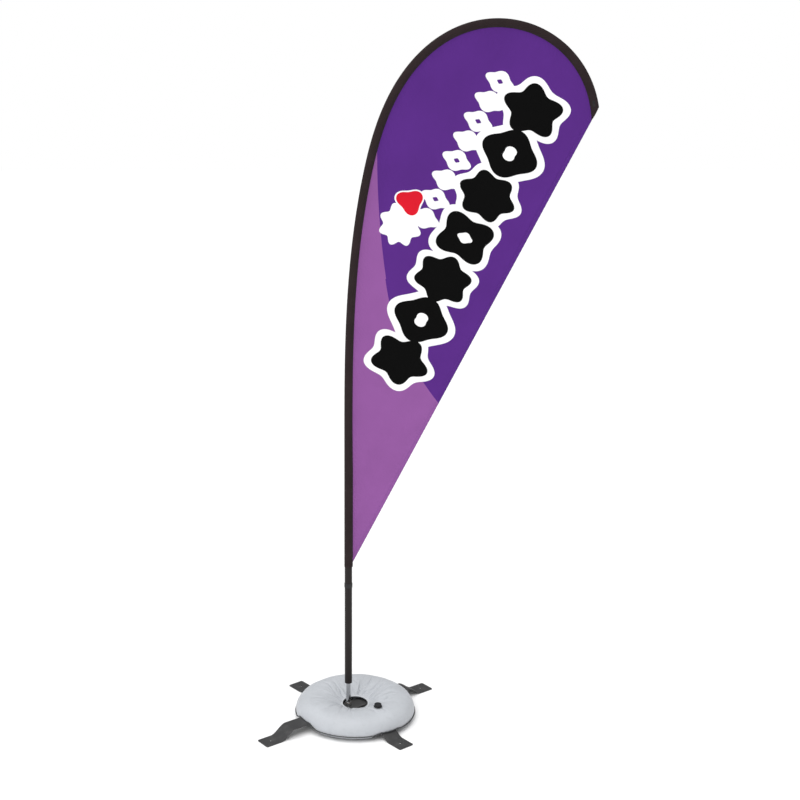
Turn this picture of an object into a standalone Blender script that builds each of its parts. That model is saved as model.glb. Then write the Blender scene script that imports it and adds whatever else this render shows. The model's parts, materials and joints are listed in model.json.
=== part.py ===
"""Teardrop flag on a folding cross base with a ring-shaped water bag. Metres, +Z up."""

import math

import bmesh
import bpy
from mathutils import Matrix, Vector

# Fits
GAP = 0.0003            # between pieces that touch
RUNNING_GAP = 0.0003    # between pieces that turn or slide on each other

# Folding cross base, two stepped flat bars
BAR_WIDTH = 0.075
BAR_THICKNESS = 0.004
BAR_RISE = 0.032        # floor to the underside of the lower bar's raised middle
BAR_BEND_RADIUS = 0.032
FOOT_LENGTH = 0.072
RAMP_LENGTH = 0.064
UPPER_BAR_REACH = 0.453
LOWER_BAR_REACH = 0.388
UPPER_BAR_ANGLE = math.radians(37.0)
CROSS_ANGLE = math.radians(92.0)
PEG_HOLE_RADIUS = 0.005
PEG_HOLE_INSET = 0.042  # from the foot's end
FOOT_CORNER = 0.004

# Pivot hardware
BOLT_RADIUS = 0.005
BOLT_HEAD_HEIGHT = 0.0064
BOLT_FLATS = 0.017
FOLD_WASHER_RADIUS = 0.030
FOLD_WASHER_THICKNESS = 0.001
SPRING_WASHER_RADIUS = 0.0088
SPRING_WASHER_THICKNESS = 0.0022
SPRING_WASHER_SPLIT = math.radians(10.0)
NUT_HEIGHT = 0.008

# Thrust bearing under the spindle
RACE_THICKNESS = 0.0026
BALL_RADIUS = 0.002
BALL_COUNT = 8
RACE_GROOVE_DEPTH = 0.0006
CAGE_THICKNESS = 0.0014
CAGE_WALL = 0.0008      # of the cage outside and inside its ball pockets
CAGE_CLEARANCE = 0.0004  # to the bolt inside and to the races' rims outside

# Spindle
SPINDLE_RADIUS = 0.0095
SPINDLE_WALL = 0.0020
SPINDLE_LENGTH = 0.238
BUSH_LENGTH = 0.020
UPPER_BUSH_DROP = 0.115  # spindle top to the top of the upper bush
CLIP_THICKNESS = 0.0010
CLIP_GROOVE_DEPTH = 0.0006
CLIP_WALL = 0.0014
CLIP_MOUTH = math.radians(40.0)
BOLT_END = 0.004        # bolt left above the retaining clip
CAP_PLUG_LENGTH = 0.012
CAP_DOME = 0.005

# Pole: four sections that plug into each other, bent by the flag into a hook
POLE_BOTTOM = 0.152     # floor to the pole's lower end
POLE_RADII = (0.0160, 0.0141, 0.0123, 0.0106)
POLE_WALL = 0.0015
POLE_TIP_RADIUS = 0.006
SECTION_ENDS = (0.930, 1.860, 2.730)
PLUG_LENGTH = 0.085
COLLAR_HEIGHT = 0.012
STRAIGHT_END = 1.093    # distances along the pole from its lower end
SLOW_BEND_END = 2.202
FULL_BEND_START = 2.902
SLOW_CURVATURE = 0.369  # 1/m at the end of the slow bend
FULL_CURVATURE = 2.529  # 1/m round the hook
STATION_STEP = 0.065    # along the bent part
SHORTEST_STEP = 0.002
CUT_STEP = 0.030        # last step before the pocket's slanted end, longer than its slant
BOTTOM_BUSH_LENGTH = 0.040
STOP_CUP_DEPTH = 0.045
STOP_CUP_ROOF = 0.006
TIP_CAP_LENGTH = 0.022
TIP_CAP_WALL = 0.0018
TIP_CLEARANCE = 0.030   # pole tip to the pocket's slanted end

# Flag
POCKET_RADIUS = 0.0173
POCKET_WALL = 0.0009
POCKET_BOTTOM = 0.690
FLAG_TIP_HEIGHT = 0.708  # lower corner of the panel, beside the pole
FREE_EDGE_ANGLE = math.radians(63.05)
PANEL_THICKNESS = 0.0010
HEM_WIDTH = 0.016
HEM_THICKNESS = 0.0016
STRAP_WIDTH = 0.018
STRAP_THICKNESS = 0.0016
STRAP_OVERLAP = 0.030   # sewn to the back of the pocket
STRAP_DROP = 0.075      # pocket's lower end to the strap's lower end
ANCHOR_HEIGHT = 0.018
ANCHOR_WALL = 0.0013
ANCHOR_LUG = 0.006

# Ring-shaped water bag
BAG_RADIUS = 0.2593
BAG_HOLE_RADIUS = 0.0547
BAG_HEIGHT = 0.058
BAG_OFFSET = 0.030      # bag's centre from the spindle, towards the flag
BAG_PLUMPNESS = 0.8     # 1 is an ellipse, less is fuller at the corners
SEAM_WIDTH = 0.007
SEAM_THICKNESS = 0.002
FILLER_ANGLE = math.radians(-52.0)
FILLER_FLANGE_RADIUS = 0.018
FILLER_FLANGE_THICKNESS = 0.0012
FILLER_NECK_RADIUS = 0.0125
FILLER_WALL = 0.0018
FILLER_NECK_HEIGHT = 0.006
FILLER_CAP_RADIUS = 0.0155
FILLER_CAP_ROOF = 0.0022
GASKET_THICKNESS = 0.0012

# Radii of the bearing, worked out from the bolt
BALL_PITCH_RADIUS = BOLT_RADIUS + CAGE_CLEARANCE + CAGE_WALL + RUNNING_GAP + BALL_RADIUS
RACE_RADIUS = BALL_PITCH_RADIUS + BALL_RADIUS + RUNNING_GAP + CAGE_WALL + CAGE_CLEARANCE

# Heights of the stack on the bolt, worked out from the sizes above
LOWER_BAR_TOP = BAR_RISE + BAR_THICKNESS
FOLD_WASHER_BOTTOM = LOWER_BAR_TOP + GAP
UPPER_BAR_RISE = FOLD_WASHER_BOTTOM + FOLD_WASHER_THICKNESS + GAP
UPPER_BAR_TOP = UPPER_BAR_RISE + BAR_THICKNESS
SPRING_WASHER_BOTTOM = UPPER_BAR_TOP + GAP
NUT_BOTTOM = SPRING_WASHER_BOTTOM + SPRING_WASHER_THICKNESS + GAP
LOWER_RACE_BOTTOM = NUT_BOTTOM + NUT_HEIGHT + GAP
LOWER_RACE_TOP = LOWER_RACE_BOTTOM + RACE_THICKNESS
BALL_CENTRE = LOWER_RACE_TOP - RACE_GROOVE_DEPTH + RUNNING_GAP + BALL_RADIUS
UPPER_RACE_BOTTOM = 2.0 * BALL_CENTRE - LOWER_RACE_TOP
SPINDLE_BOTTOM = UPPER_RACE_BOTTOM + RACE_THICKNESS + GAP
SPINDLE_TOP = SPINDLE_BOTTOM + SPINDLE_LENGTH
SPINDLE_BORE = SPINDLE_RADIUS - SPINDLE_WALL
UPPER_BUSH_TOP = SPINDLE_TOP - UPPER_BUSH_DROP
CLIP_BOTTOM = UPPER_BUSH_TOP + RUNNING_GAP
CAP_TOP = SPINDLE_TOP + GAP + CAP_DOME
POLE_BORE = POLE_RADII[0] - POLE_WALL
SOCKET_RADIUS = SPINDLE_RADIUS + RUNNING_GAP

ROUND_SIDES = 24
HOLE_SIDES = 16
POLE_SIDES = 16
INNER_POLE_SIDES = 12
BAG_SIDES = 48
BAG_SECTION_SIDES = 16
BALL_SUBDIVISIONS = 2
BEND_STEPS = 4
CORNER_STEPS = 3
DOME_STEPS = 4
COURSE_STEPS = 10       # small steps between two stations of the pole's course
SHARP_ANGLE = math.radians(35.0)

COLOURS = {
    "bar_coating": ((0.060, 0.060, 0.062), 0.55, 0.3),
    "zinc": ((0.55, 0.56, 0.58), 0.35, 1.0),
    "chrome": ((0.78, 0.78, 0.80), 0.12, 1.0),
    "bearing_steel": ((0.62, 0.62, 0.64), 0.2, 1.0),
    "bronze": ((0.55, 0.36, 0.16), 0.4, 1.0),
    "nylon": ((0.75, 0.74, 0.70), 0.6, 0.0),
    "black_plastic": ((0.020, 0.020, 0.022), 0.5, 0.0),
    "rubber": ((0.018, 0.018, 0.018), 0.85, 0.0),
    "pole_coating": ((0.032, 0.026, 0.025), 0.45, 0.0),
    "pocket_fabric": ((0.030, 0.022, 0.026), 0.85, 0.0),
    "panel_fabric": ((0.107, 0.030, 0.240), 0.8, 0.0),
    "hem_fabric": ((0.107, 0.030, 0.240), 0.8, 0.0),
    "webbing": ((0.020, 0.020, 0.020), 0.9, 0.0),
    "bag_vinyl": ((0.46, 0.48, 0.51), 0.5, 0.0),
    "bag_piping": ((0.20, 0.21, 0.23), 0.6, 0.0),
}


def clear_scene():
    for obj in list(bpy.data.objects):
        bpy.data.objects.remove(obj, do_unlink=True)


def material(name):
    found = bpy.data.materials.get(name)
    if found:
        return found
    colour, roughness, metallic = COLOURS[name]
    made = bpy.data.materials.new(name)
    made.use_nodes = True
    shader = made.node_tree.nodes["Principled BSDF"]
    shader.inputs["Base Color"].default_value = (*colour, 1.0)
    shader.inputs["Roughness"].default_value = roughness
    shader.inputs["Metallic"].default_value = metallic
    return made


def add_object(name, mesh_data, parent, finish=None):
    obj = bpy.data.objects.new(name, mesh_data)
    bpy.context.scene.collection.objects.link(obj)
    obj.parent = parent
    if finish:
        mesh_data.materials.append(material(finish))
    return obj


def finish_mesh(name, shape, parent, finish):
    """Turns a bmesh into a node's object, faces out and smooth between its sharp edges."""
    bmesh.ops.recalc_face_normals(shape, faces=shape.faces)
    data = bpy.data.meshes.new(name)
    shape.to_mesh(data)
    shape.free()
    data.shade_smooth()
    data.set_sharp_from_angle(angle=SHARP_ANGLE)
    return add_object(name, data, parent, finish)


def add_pivot(name, place, parent):
    pivot = bpy.data.objects.new(name, None)
    bpy.context.scene.collection.objects.link(pivot)
    pivot.parent = parent
    pivot.location = place
    return pivot


def join_rings(shape, rings, closed):
    """Faces between neighbouring rings of points; a ring of one point closes as a fan."""
    pairs = list(zip(rings, rings[1:]))
    if closed:
        pairs.append((rings[-1], rings[0]))
    for first, second in pairs:
        count = max(len(first), len(second))
        for i in range(count):
            j = (i + 1) % count
            corners = [first[i % len(first)], first[j % len(first)]]
            corners += [second[j % len(second)], second[i % len(second)]]
            unique = list(dict.fromkeys(corners))
            shape.faces.new(unique)


def turned(name, profile, parent, finish, sides=ROUND_SIDES, sweep=None):
    """Revolves (radius, height) points about Z. A loop clear of the axis makes a ring."""
    shape = bmesh.new()
    ring_shaped = min(radius for radius, _ in profile) > 0.0
    whole = sweep is None
    steps = sides if whole else sides + 1
    span = 2.0 * math.pi if whole else sweep
    rings = []
    for radius, height in profile:
        if radius == 0.0:
            rings.append([shape.verts.new((0.0, 0.0, height))])
            continue
        angles = [span * i / sides for i in range(steps)]
        circle = [(radius * math.cos(a), radius * math.sin(a), height) for a in angles]
        rings.append([shape.verts.new(point) for point in circle])
    if whole:
        join_rings(shape, rings, ring_shaped)
    else:
        columns = [[ring[i] for ring in rings] for i in range(steps)]
        for first, second in zip(columns, columns[1:]):
            join_rings(shape, [first, second], False)
        shape.faces.new(columns[0])
        shape.faces.new(columns[-1])
    return finish_mesh(name, shape, parent, finish)


def sleeve_profile(inner, outer, bottom, top):
    return [(inner, bottom), (outer, bottom), (outer, top), (inner, top)]


def upright(u, v, level):
    return u, level, v


def extruded(name, outline, low, high, parent, finish, to_world=upright):
    """A flat outline made a plate from low to high along its normal; to_world places a corner."""
    shape = bmesh.new()
    layers = [[shape.verts.new(to_world(u, v, level)) for u, v in outline] for level in (low, high)]
    shape.faces.new(layers[0])
    shape.faces.new(layers[1])
    join_rings(shape, layers, False)
    return finish_mesh(name, shape, parent, finish)


def boolean(obj, other, operation):
    other.hide_render = True
    other.display_type = "WIRE"
    modifier = obj.modifiers.new(operation.title() + "_" + other.name, "BOOLEAN")
    modifier.operation = operation
    modifier.object = other


def drill(obj, name, radius, places, bottom, top, parent):
    """Cuts round holes along Z at each (x, y)."""
    cutter = bmesh.new()
    for x, y in places:
        middle = Matrix.Translation((x, y, (bottom + top) / 2.0))
        bmesh.ops.create_cone(
            cutter, cap_ends=True, segments=HOLE_SIDES, radius1=radius, radius2=radius,
            depth=top - bottom, matrix=middle,
        )
    boolean(obj, finish_mesh(name, cutter, parent, None), "DIFFERENCE")


def hexagon(name, flats, bottom, top, parent, finish):
    corner = flats / math.sqrt(3.0)
    profile = [(0.0, bottom), (corner, bottom), (corner, top), (0.0, top)]
    return turned(name, profile, parent, finish, sides=6)


# Cross base

def rounded_corner(before, corner, after, radius):
    """Points of the arc that rounds one corner of a path."""
    to_before = (Vector(before) - Vector(corner)).normalized()
    to_after = (Vector(after) - Vector(corner)).normalized()
    half = to_before.angle(to_after) / 2.0
    centre = Vector(corner) + (to_before + to_after).normalized() * (radius / math.sin(half))
    start = Vector(corner) + to_before * (radius / math.tan(half)) - centre
    end = Vector(corner) + to_after * (radius / math.tan(half)) - centre
    turn = start.angle_signed(end)
    turns = [-turn * i / BEND_STEPS for i in range(BEND_STEPS + 1)]
    return [centre + Matrix.Rotation(part, 2) @ start for part in turns]


def bar_centreline(reach, rise):
    """Side view of a stepped bar, foot to foot, along the middle of its thickness."""
    middle = BAR_THICKNESS / 2.0
    ramp_foot = reach - FOOT_LENGTH
    ramp_head = ramp_foot - RAMP_LENGTH
    corners = [(-reach, middle), (-ramp_foot, middle), (-ramp_head, rise + middle)]
    corners += [(-u, v) for u, v in reversed(corners)]
    path = [Vector(corners[0])]
    for before, corner, after in zip(corners, corners[1:], corners[2:]):
        path += rounded_corner(before, corner, after, BAR_BEND_RADIUS)
    return path + [Vector(corners[-1])]


def offset_path(path, distance):
    moved = []
    for i, point in enumerate(path):
        ahead = (path[min(i + 1, len(path) - 1)] - point).normalized()
        behind = (point - path[max(i - 1, 0)]).normalized()
        if i == 0:
            behind = ahead
        if i == len(path) - 1:
            ahead = behind
        along = (ahead + behind).normalized()
        normal = Vector((-along.y, along.x))
        moved.append(point + normal * (distance / along.dot(ahead)))
    return moved


def cross_bar(name, reach, rise, angle, parent):
    path = bar_centreline(reach, rise)
    upper = offset_path(path, BAR_THICKNESS / 2.0)
    lower = offset_path(path, -BAR_THICKNESS / 2.0)
    outline = [tuple(p) for p in upper + lower[::-1]]
    half = BAR_WIDTH / 2.0
    bar = extruded(name, outline, -half, half, parent, "bar_coating")
    round_foot_corners(bar, reach)
    peg = reach - PEG_HOLE_INSET
    drill(bar, name + "_peg_cutter", PEG_HOLE_RADIUS, [(peg, 0.0), (-peg, 0.0)], -rise, rise, bar)
    drill(bar, name + "_bolt_cutter", BOLT_RADIUS + GAP, [(0.0, 0.0)], rise / 2.0, rise * 2.0, bar)
    bar.rotation_euler.z = angle
    return bar


def round_foot_corners(bar, reach):
    """Cuts the four vertical corners of the two feet to a small radius."""
    shape = bmesh.new()
    shape.from_mesh(bar.data)
    upright = [
        e for e in shape.edges
        if all(abs(abs(v.co.x) - reach) < GAP for v in e.verts)
        and abs(e.verts[0].co.y - e.verts[1].co.y) < GAP
    ]
    bmesh.ops.bevel(shape, geom=upright, offset=FOOT_CORNER, segments=CORNER_STEPS, affect="EDGES")
    shape.to_mesh(bar.data)
    shape.free()


def pivot_bolt(parent):
    """Hexagon-headed bolt: clamps the bars, then carries the spindle as its fixed axle."""
    head_bottom = BAR_RISE - GAP - BOLT_HEAD_HEIGHT
    groove = BOLT_RADIUS - CLIP_GROOVE_DEPTH
    groove_bottom = CLIP_BOTTOM
    groove_top = CLIP_BOTTOM + CLIP_THICKNESS + 2.0 * GAP
    end = groove_top + BOLT_END
    chamfer = CLIP_GROOVE_DEPTH
    profile = [
        (0.0, head_bottom + GAP), (BOLT_RADIUS, head_bottom + GAP), (BOLT_RADIUS, groove_bottom),
        (groove, groove_bottom), (groove, groove_top), (BOLT_RADIUS, groove_top),
        (BOLT_RADIUS, end - chamfer), (BOLT_RADIUS - chamfer, end), (0.0, end),
    ]
    bolt = turned("pivot_bolt", profile, parent, "zinc")
    head_top = head_bottom + BOLT_HEAD_HEIGHT
    head = hexagon("pivot_bolt_head", BOLT_FLATS, head_bottom, head_top, parent, None)
    boolean(bolt, head, "UNION")


def clamp_nut(parent):
    top = NUT_BOTTOM + NUT_HEIGHT
    nut = hexagon("clamp_nut", BOLT_FLATS, NUT_BOTTOM, top, parent, "zinc")
    bore = BOLT_RADIUS + GAP
    drill(nut, "clamp_nut_cutter", bore, [(0.0, 0.0)], NUT_BOTTOM - GAP, top + GAP, parent)


def washers(parent):
    bore = BOLT_RADIUS + GAP
    top = FOLD_WASHER_BOTTOM + FOLD_WASHER_THICKNESS
    fold = sleeve_profile(bore, FOLD_WASHER_RADIUS, FOLD_WASHER_BOTTOM, top)
    turned("fold_washer", fold, parent, "nylon")
    top = SPRING_WASHER_BOTTOM + SPRING_WASHER_THICKNESS
    spring = sleeve_profile(bore, SPRING_WASHER_RADIUS, SPRING_WASHER_BOTTOM, top)
    turned("spring_washer", spring, parent, "zinc", sweep=2.0 * math.pi - SPRING_WASHER_SPLIT)


def base(parent):
    lower = add_pivot("base_fold_pivot", (0.0, 0.0, LOWER_BAR_TOP), parent)
    cross_bar("upper_cross_bar", UPPER_BAR_REACH, UPPER_BAR_RISE, UPPER_BAR_ANGLE, parent)
    lower_angle = UPPER_BAR_ANGLE + CROSS_ANGLE
    lower_bar = cross_bar("lower_cross_bar", LOWER_BAR_REACH, BAR_RISE, lower_angle, lower)
    lower_bar.location.z = -LOWER_BAR_TOP
    washers(parent)
    pivot_bolt(parent)
    clamp_nut(parent)


# Thrust bearing and spindle

def race_profile(flat_level, back_level):
    """Ring with a shallow ball groove in the face at flat_level."""
    inner = BOLT_RADIUS + GAP
    into = 1.0 if back_level > flat_level else -1.0
    groove_radius = BALL_RADIUS + RUNNING_GAP
    reach = math.acos(1.0 - RACE_GROOVE_DEPTH / groove_radius)
    deepest = flat_level + into * RACE_GROOVE_DEPTH
    centre = deepest - into * groove_radius
    arc = []
    for turn in (-reach, 0.0, reach):
        radius = BALL_PITCH_RADIUS + groove_radius * math.sin(turn)
        arc.append((radius, centre + into * groove_radius * math.cos(turn)))
    back = [(RACE_RADIUS, back_level), (inner, back_level)]
    return [(inner, flat_level), *arc, (RACE_RADIUS, flat_level), *back]


def bearing(parent, cage_parent, spindle_parent):
    lower = race_profile(LOWER_RACE_TOP, LOWER_RACE_BOTTOM)
    turned("bearing_lower_race", lower, parent, "bearing_steel")
    upper = race_profile(UPPER_RACE_BOTTOM, UPPER_RACE_BOTTOM + RACE_THICKNESS)
    turned("bearing_upper_race", upper, spindle_parent, "bearing_steel")
    pocket = BALL_RADIUS + RUNNING_GAP
    inner = BALL_PITCH_RADIUS - pocket - CAGE_WALL
    outer = BALL_PITCH_RADIUS + pocket + CAGE_WALL
    bottom = BALL_CENTRE - CAGE_THICKNESS / 2.0
    top = BALL_CENTRE + CAGE_THICKNESS / 2.0
    cage = turned("bearing_cage", sleeve_profile(inner, outer, bottom, top), cage_parent, "bronze")
    angles = [2.0 * math.pi * i / BALL_COUNT for i in range(BALL_COUNT)]
    places = [(BALL_PITCH_RADIUS * math.cos(a), BALL_PITCH_RADIUS * math.sin(a)) for a in angles]
    drill(cage, "bearing_cage_cutter", pocket, places, bottom - GAP, top + GAP, cage_parent)
    shape = bmesh.new()
    bmesh.ops.create_icosphere(shape, subdivisions=BALL_SUBDIVISIONS, radius=BALL_RADIUS)
    first = finish_mesh("bearing_ball_1", shape, cage_parent, "bearing_steel")
    first.data.shade_smooth()
    first.location = (*places[0], BALL_CENTRE)
    for i, place in enumerate(places[1:], start=2):
        ball = add_object("bearing_ball_" + str(i), first.data, cage_parent)
        ball.location = (*place, BALL_CENTRE)


def bush(name, bottom, parent):
    inner = BOLT_RADIUS + RUNNING_GAP
    profile = sleeve_profile(inner, SPINDLE_BORE - GAP, bottom, bottom + BUSH_LENGTH)
    turned(name, profile, parent, "bronze")


def spindle(parent, spindle_parent):
    chamfer = SPINDLE_WALL / 4.0
    tube = [
        (SPINDLE_BORE, SPINDLE_BOTTOM), (SPINDLE_RADIUS - chamfer, SPINDLE_BOTTOM),
        (SPINDLE_RADIUS, SPINDLE_BOTTOM + chamfer), (SPINDLE_RADIUS, SPINDLE_TOP - chamfer),
        (SPINDLE_RADIUS - chamfer, SPINDLE_TOP), (SPINDLE_BORE, SPINDLE_TOP),
    ]
    turned("spindle_tube", tube, spindle_parent, "chrome")
    bush("spindle_lower_bush", SPINDLE_BOTTOM + GAP, spindle_parent)
    bush("spindle_upper_bush", UPPER_BUSH_TOP - BUSH_LENGTH, spindle_parent)
    clip_inner = BOLT_RADIUS - CLIP_GROOVE_DEPTH + GAP
    clip_outer = clip_inner + CLIP_WALL
    clip_low = CLIP_BOTTOM + GAP
    clip = sleeve_profile(clip_inner, clip_outer, clip_low, clip_low + CLIP_THICKNESS)
    turned("retaining_clip", clip, parent, "zinc", sweep=2.0 * math.pi - CLIP_MOUTH)
    plug = SPINDLE_BORE - GAP
    plug_bottom = SPINDLE_TOP - CAP_PLUG_LENGTH
    rim = SPINDLE_TOP + GAP
    cap = [(0.0, plug_bottom), (plug, plug_bottom), (plug, rim)]
    for i in range(DOME_STEPS + 1):
        turn = math.pi / 2.0 * i / DOME_STEPS
        cap.append((SPINDLE_RADIUS * math.cos(turn), rim + CAP_DOME * math.sin(turn)))
    cap[-1] = (0.0, CAP_TOP)
    turned("spindle_cap", cap, spindle_parent, "black_plastic")


# Pole

def curvature(distance):
    """Bend of the pole, 1/m: none, then slowly more, then quickly up to the hook's own bend."""
    if distance < STRAIGHT_END:
        return 0.0
    if distance < SLOW_BEND_END:
        return SLOW_CURVATURE * (distance - STRAIGHT_END) / (SLOW_BEND_END - STRAIGHT_END)
    share = (distance - SLOW_BEND_END) / (FULL_BEND_START - SLOW_BEND_END)
    return SLOW_CURVATURE + (FULL_CURVATURE - SLOW_CURVATURE) * min(share, 1.0)


def pole_course(length):
    """Stations along the pole's axis: (distance, x, z, heading), close together where it bends."""
    up = math.pi / 2.0
    stations = [(0.0, 0.0, POLE_BOTTOM, up), (STRAIGHT_END, 0.0, POLE_BOTTOM + STRAIGHT_END, up)]
    while stations[-1][0] < length:
        distance, x, z, heading = stations[-1]
        step = STATION_STEP / COURSE_STEPS
        for _ in range(COURSE_STEPS):
            middle = heading - curvature(distance + step / 2.0) * step / 2.0
            x += math.cos(middle) * step
            z += math.sin(middle) * step
            heading -= curvature(distance + step / 2.0) * step
            distance += step
        stations.append((distance, x, z, heading))
    return stations


def on_course(stations, distance):
    """Place and heading at a distance, on the straight line between its two stations."""
    for before, after in zip(stations, stations[1:]):
        if distance <= after[0]:
            share = (distance - before[0]) / (after[0] - before[0])
            return tuple(a + (b - a) * share for a, b in zip(before, after))
    return stations[-1]


def course_between(stations, start, end, last_step=SHORTEST_STEP):
    """Stations from start to end, without any that would crowd the ends."""
    inner = [s for s in stations if start + SHORTEST_STEP < s[0] < end - last_step]
    return [on_course(stations, start), *inner, on_course(stations, end)]


def ring_at(shape, station, radius, sides):
    _, x, z, heading = station
    outward = Vector((-math.sin(heading), 0.0, math.cos(heading)))
    side = Vector((0.0, 1.0, 0.0))
    centre = Vector((x, 0.0, z))
    angles = [2.0 * math.pi * i / sides for i in range(sides)]
    ways = [outward * math.cos(a) + side * math.sin(a) for a in angles]
    return [shape.verts.new(centre + way * radius) for way in ways]


def swept_tube(name, course, outer, inner, parent, finish, sides, cut_end=None):
    """Tube along the pole's course; outer and inner give its radii at a distance."""
    shape = bmesh.new()
    outside = [ring_at(shape, s, outer(s[0]), sides) for s in course]
    inside = [ring_at(shape, s, inner(s[0]), sides) for s in course]
    if cut_end:
        for vert in outside[-1] + inside[-1]:
            cut_end(vert, course[-1][3])
    join_rings(shape, outside + inside[::-1], True)
    return finish_mesh(name, shape, parent, finish)


def constant(value):
    return lambda _: value


def bored(outer):
    """Inner radius of a pole section with this outer radius, at a distance."""
    return lambda distance: outer(distance) - POLE_WALL


def free_edge_frame():
    """A point on the flag's free edge, its direction and its normal, in the flag's own plane."""
    point = Vector((POCKET_RADIUS, FLAG_TIP_HEIGHT))
    along = Vector((math.cos(FREE_EDGE_ANGLE), math.sin(FREE_EDGE_ANGLE)))
    return point, along, Vector((-along.y, along.x))


def pocket_length(stations):
    """Distance along the pole at which its axis meets the line of the free edge."""
    point, _, normal = free_edge_frame()
    for before, after in zip(stations, stations[1:]):
        first = (Vector(before[1:3]) - point).dot(normal)
        second = (Vector(after[1:3]) - point).dot(normal)
        if before[0] > FULL_BEND_START and second <= 0.0:
            return before[0] + (after[0] - before[0]) * first / (first - second)
    raise ValueError("the pole never meets the free edge: lengthen the bend")


def slide_to_free_edge(place, heading):
    """Slides an (x, z) place along the pole's heading onto the line of the free edge."""
    point, _, normal = free_edge_frame()
    along = Vector((math.cos(heading), math.sin(heading)))
    return place + along * ((point - place).dot(normal) / along.dot(normal))


def cut_to_free_edge(vert, heading):
    vert.co.x, vert.co.z = slide_to_free_edge(Vector((vert.co.x, vert.co.z)), heading)


def pole_ends(total):
    """(start, end) of each section: it plugs into the one below and ends at the next joint."""
    ends = [*SECTION_ENDS, total - TIP_CLEARANCE]
    starts = [0.0] + [end - PLUG_LENGTH for end in SECTION_ENDS]
    return list(zip(starts, ends))


def tip_taper(total):
    """Outer radius of the last section, which narrows towards its tip."""
    start, end = pole_ends(total)[-1]
    plugged = start + PLUG_LENGTH + COLLAR_HEIGHT

    def radius(distance):
        share = max(0.0, (distance - plugged) / (end - plugged))
        return POLE_RADII[-1] + (POLE_TIP_RADIUS - POLE_RADII[-1]) * share

    return radius


def pole(stations, total, parent):
    taper = tip_taper(total)
    outers = [constant(r) for r in POLE_RADII[:-1]] + [taper]
    for i, ((start, end), outer) in enumerate(zip(pole_ends(total), outers), start=1):
        course = course_between(stations, start, end)
        sides = POLE_SIDES if i == 1 else INNER_POLE_SIDES
        name = "pole_section_" + str(i)
        swept_tube(name, course, outer, bored(outer), parent, "pole_coating", sides)
    for i, end in enumerate(SECTION_ENDS):
        course = course_between(stations, end + GAP, end + GAP + COLLAR_HEIGHT)
        outer = constant(POLE_RADII[i])
        bore = constant(POLE_RADII[i + 1] + GAP)
        name = "stop_collar_" + str(i + 1)
        swept_tube(name, course, outer, bore, parent, "black_plastic", INNER_POLE_SIDES)
    tip_cap(stations, total - TIP_CLEARANCE, parent)


def tip_cap(stations, pole_end, parent):
    """Rubber cup over the pole's tip."""
    shape = bmesh.new()
    mouth = on_course(stations, pole_end - TIP_CAP_LENGTH)
    floor = on_course(stations, pole_end + GAP)
    roof = on_course(stations, pole_end + GAP + TIP_CAP_WALL)
    inner = (POLE_RADII[-1] + POLE_TIP_RADIUS) / 2.0
    outer = inner + TIP_CAP_WALL
    places = [(floor, inner), (mouth, inner), (mouth, outer), (floor, outer), (roof, inner)]
    rings = [ring_at(shape, station, radius, INNER_POLE_SIDES) for station, radius in places]
    join_rings(shape, rings, False)
    shape.faces.new(rings[0])
    shape.faces.new(rings[-1])
    finish_mesh("pole_tip_cap", shape, parent, "rubber")


def pole_socket(parent):
    """Plastic bushes inside the lowest section, which seat the pole on the spindle."""
    outer = POLE_BORE - GAP
    bottom = POLE_BOTTOM + GAP
    bush_profile = sleeve_profile(SOCKET_RADIUS, outer, bottom, bottom + BOTTOM_BUSH_LENGTH)
    turned("pole_bottom_bush", bush_profile, parent, "black_plastic", sides=POLE_SIDES)
    seat = CAP_TOP + RUNNING_GAP
    mouth = seat - STOP_CUP_DEPTH
    roof = seat + STOP_CUP_ROOF
    cup = [(0.0, seat), (SOCKET_RADIUS, seat), (SOCKET_RADIUS, mouth)]
    cup += [(outer, mouth), (outer, roof), (0.0, roof)]
    turned("pole_stop_cup", cup, parent, "black_plastic", sides=POLE_SIDES)


# Flag

def pocket_edge(stations, total, distance_out):
    """The pocket's inner edge in the flag's plane, bottom to top, as (x, z) points."""
    start = POCKET_BOTTOM - POLE_BOTTOM
    edge = []
    for _, x, z, heading in course_between(stations, start, total, CUT_STEP):
        inward = Vector((math.sin(heading), -math.cos(heading)))
        edge.append(Vector((x, z)) + inward * distance_out)
    edge[-1] = slide_to_free_edge(edge[-1], heading)
    return edge


def clip_beyond(edge, inset):
    """Part of the edge that lies on the pole's side of the free edge moved in by inset."""
    point, _, normal = free_edge_frame()
    heights = [(p - point).dot(normal) - inset for p in edge]
    kept = []
    for i, (p, height) in enumerate(zip(edge, heights)):
        if i and (height > 0.0) != (heights[i - 1] > 0.0):
            share = heights[i - 1] / (heights[i - 1] - height)
            kept.append(edge[i - 1] + (p - edge[i - 1]) * share)
        if height > 0.0:
            kept.append(p)
    return kept


def flag(stations, total, parent):
    """Pocket round the pole, printed panel, and the doubled hem along the free edge."""
    start = POCKET_BOTTOM - POLE_BOTTOM
    course = course_between(stations, start, total, CUT_STEP)
    inner = constant(POCKET_RADIUS - POCKET_WALL)
    outer = constant(POCKET_RADIUS)
    finish = "pocket_fabric"
    swept_tube("pole_pocket", course, outer, inner, parent, finish, POLE_SIDES, cut_to_free_edge)

    edge = pocket_edge(stations, total, POCKET_RADIUS + GAP)
    panel = clip_beyond(edge, HEM_WIDTH + GAP)
    half = PANEL_THICKNESS / 2.0
    extruded("flag_panel", [tuple(p) for p in panel], -half, half, parent, "panel_fabric")

    outside = clip_beyond(edge, 0.0)
    inside = clip_beyond(edge, HEM_WIDTH)
    low = [p for p in outside if p.y < inside[0].y - GAP]
    high = [p for p in outside if p.x > inside[-1].x + GAP]
    hem = [*low, inside[0], inside[-1], *high]
    half = HEM_THICKNESS / 2.0
    extruded("free_edge_hem", [tuple(p) for p in hem], -half, half, parent, "hem_fabric")


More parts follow.
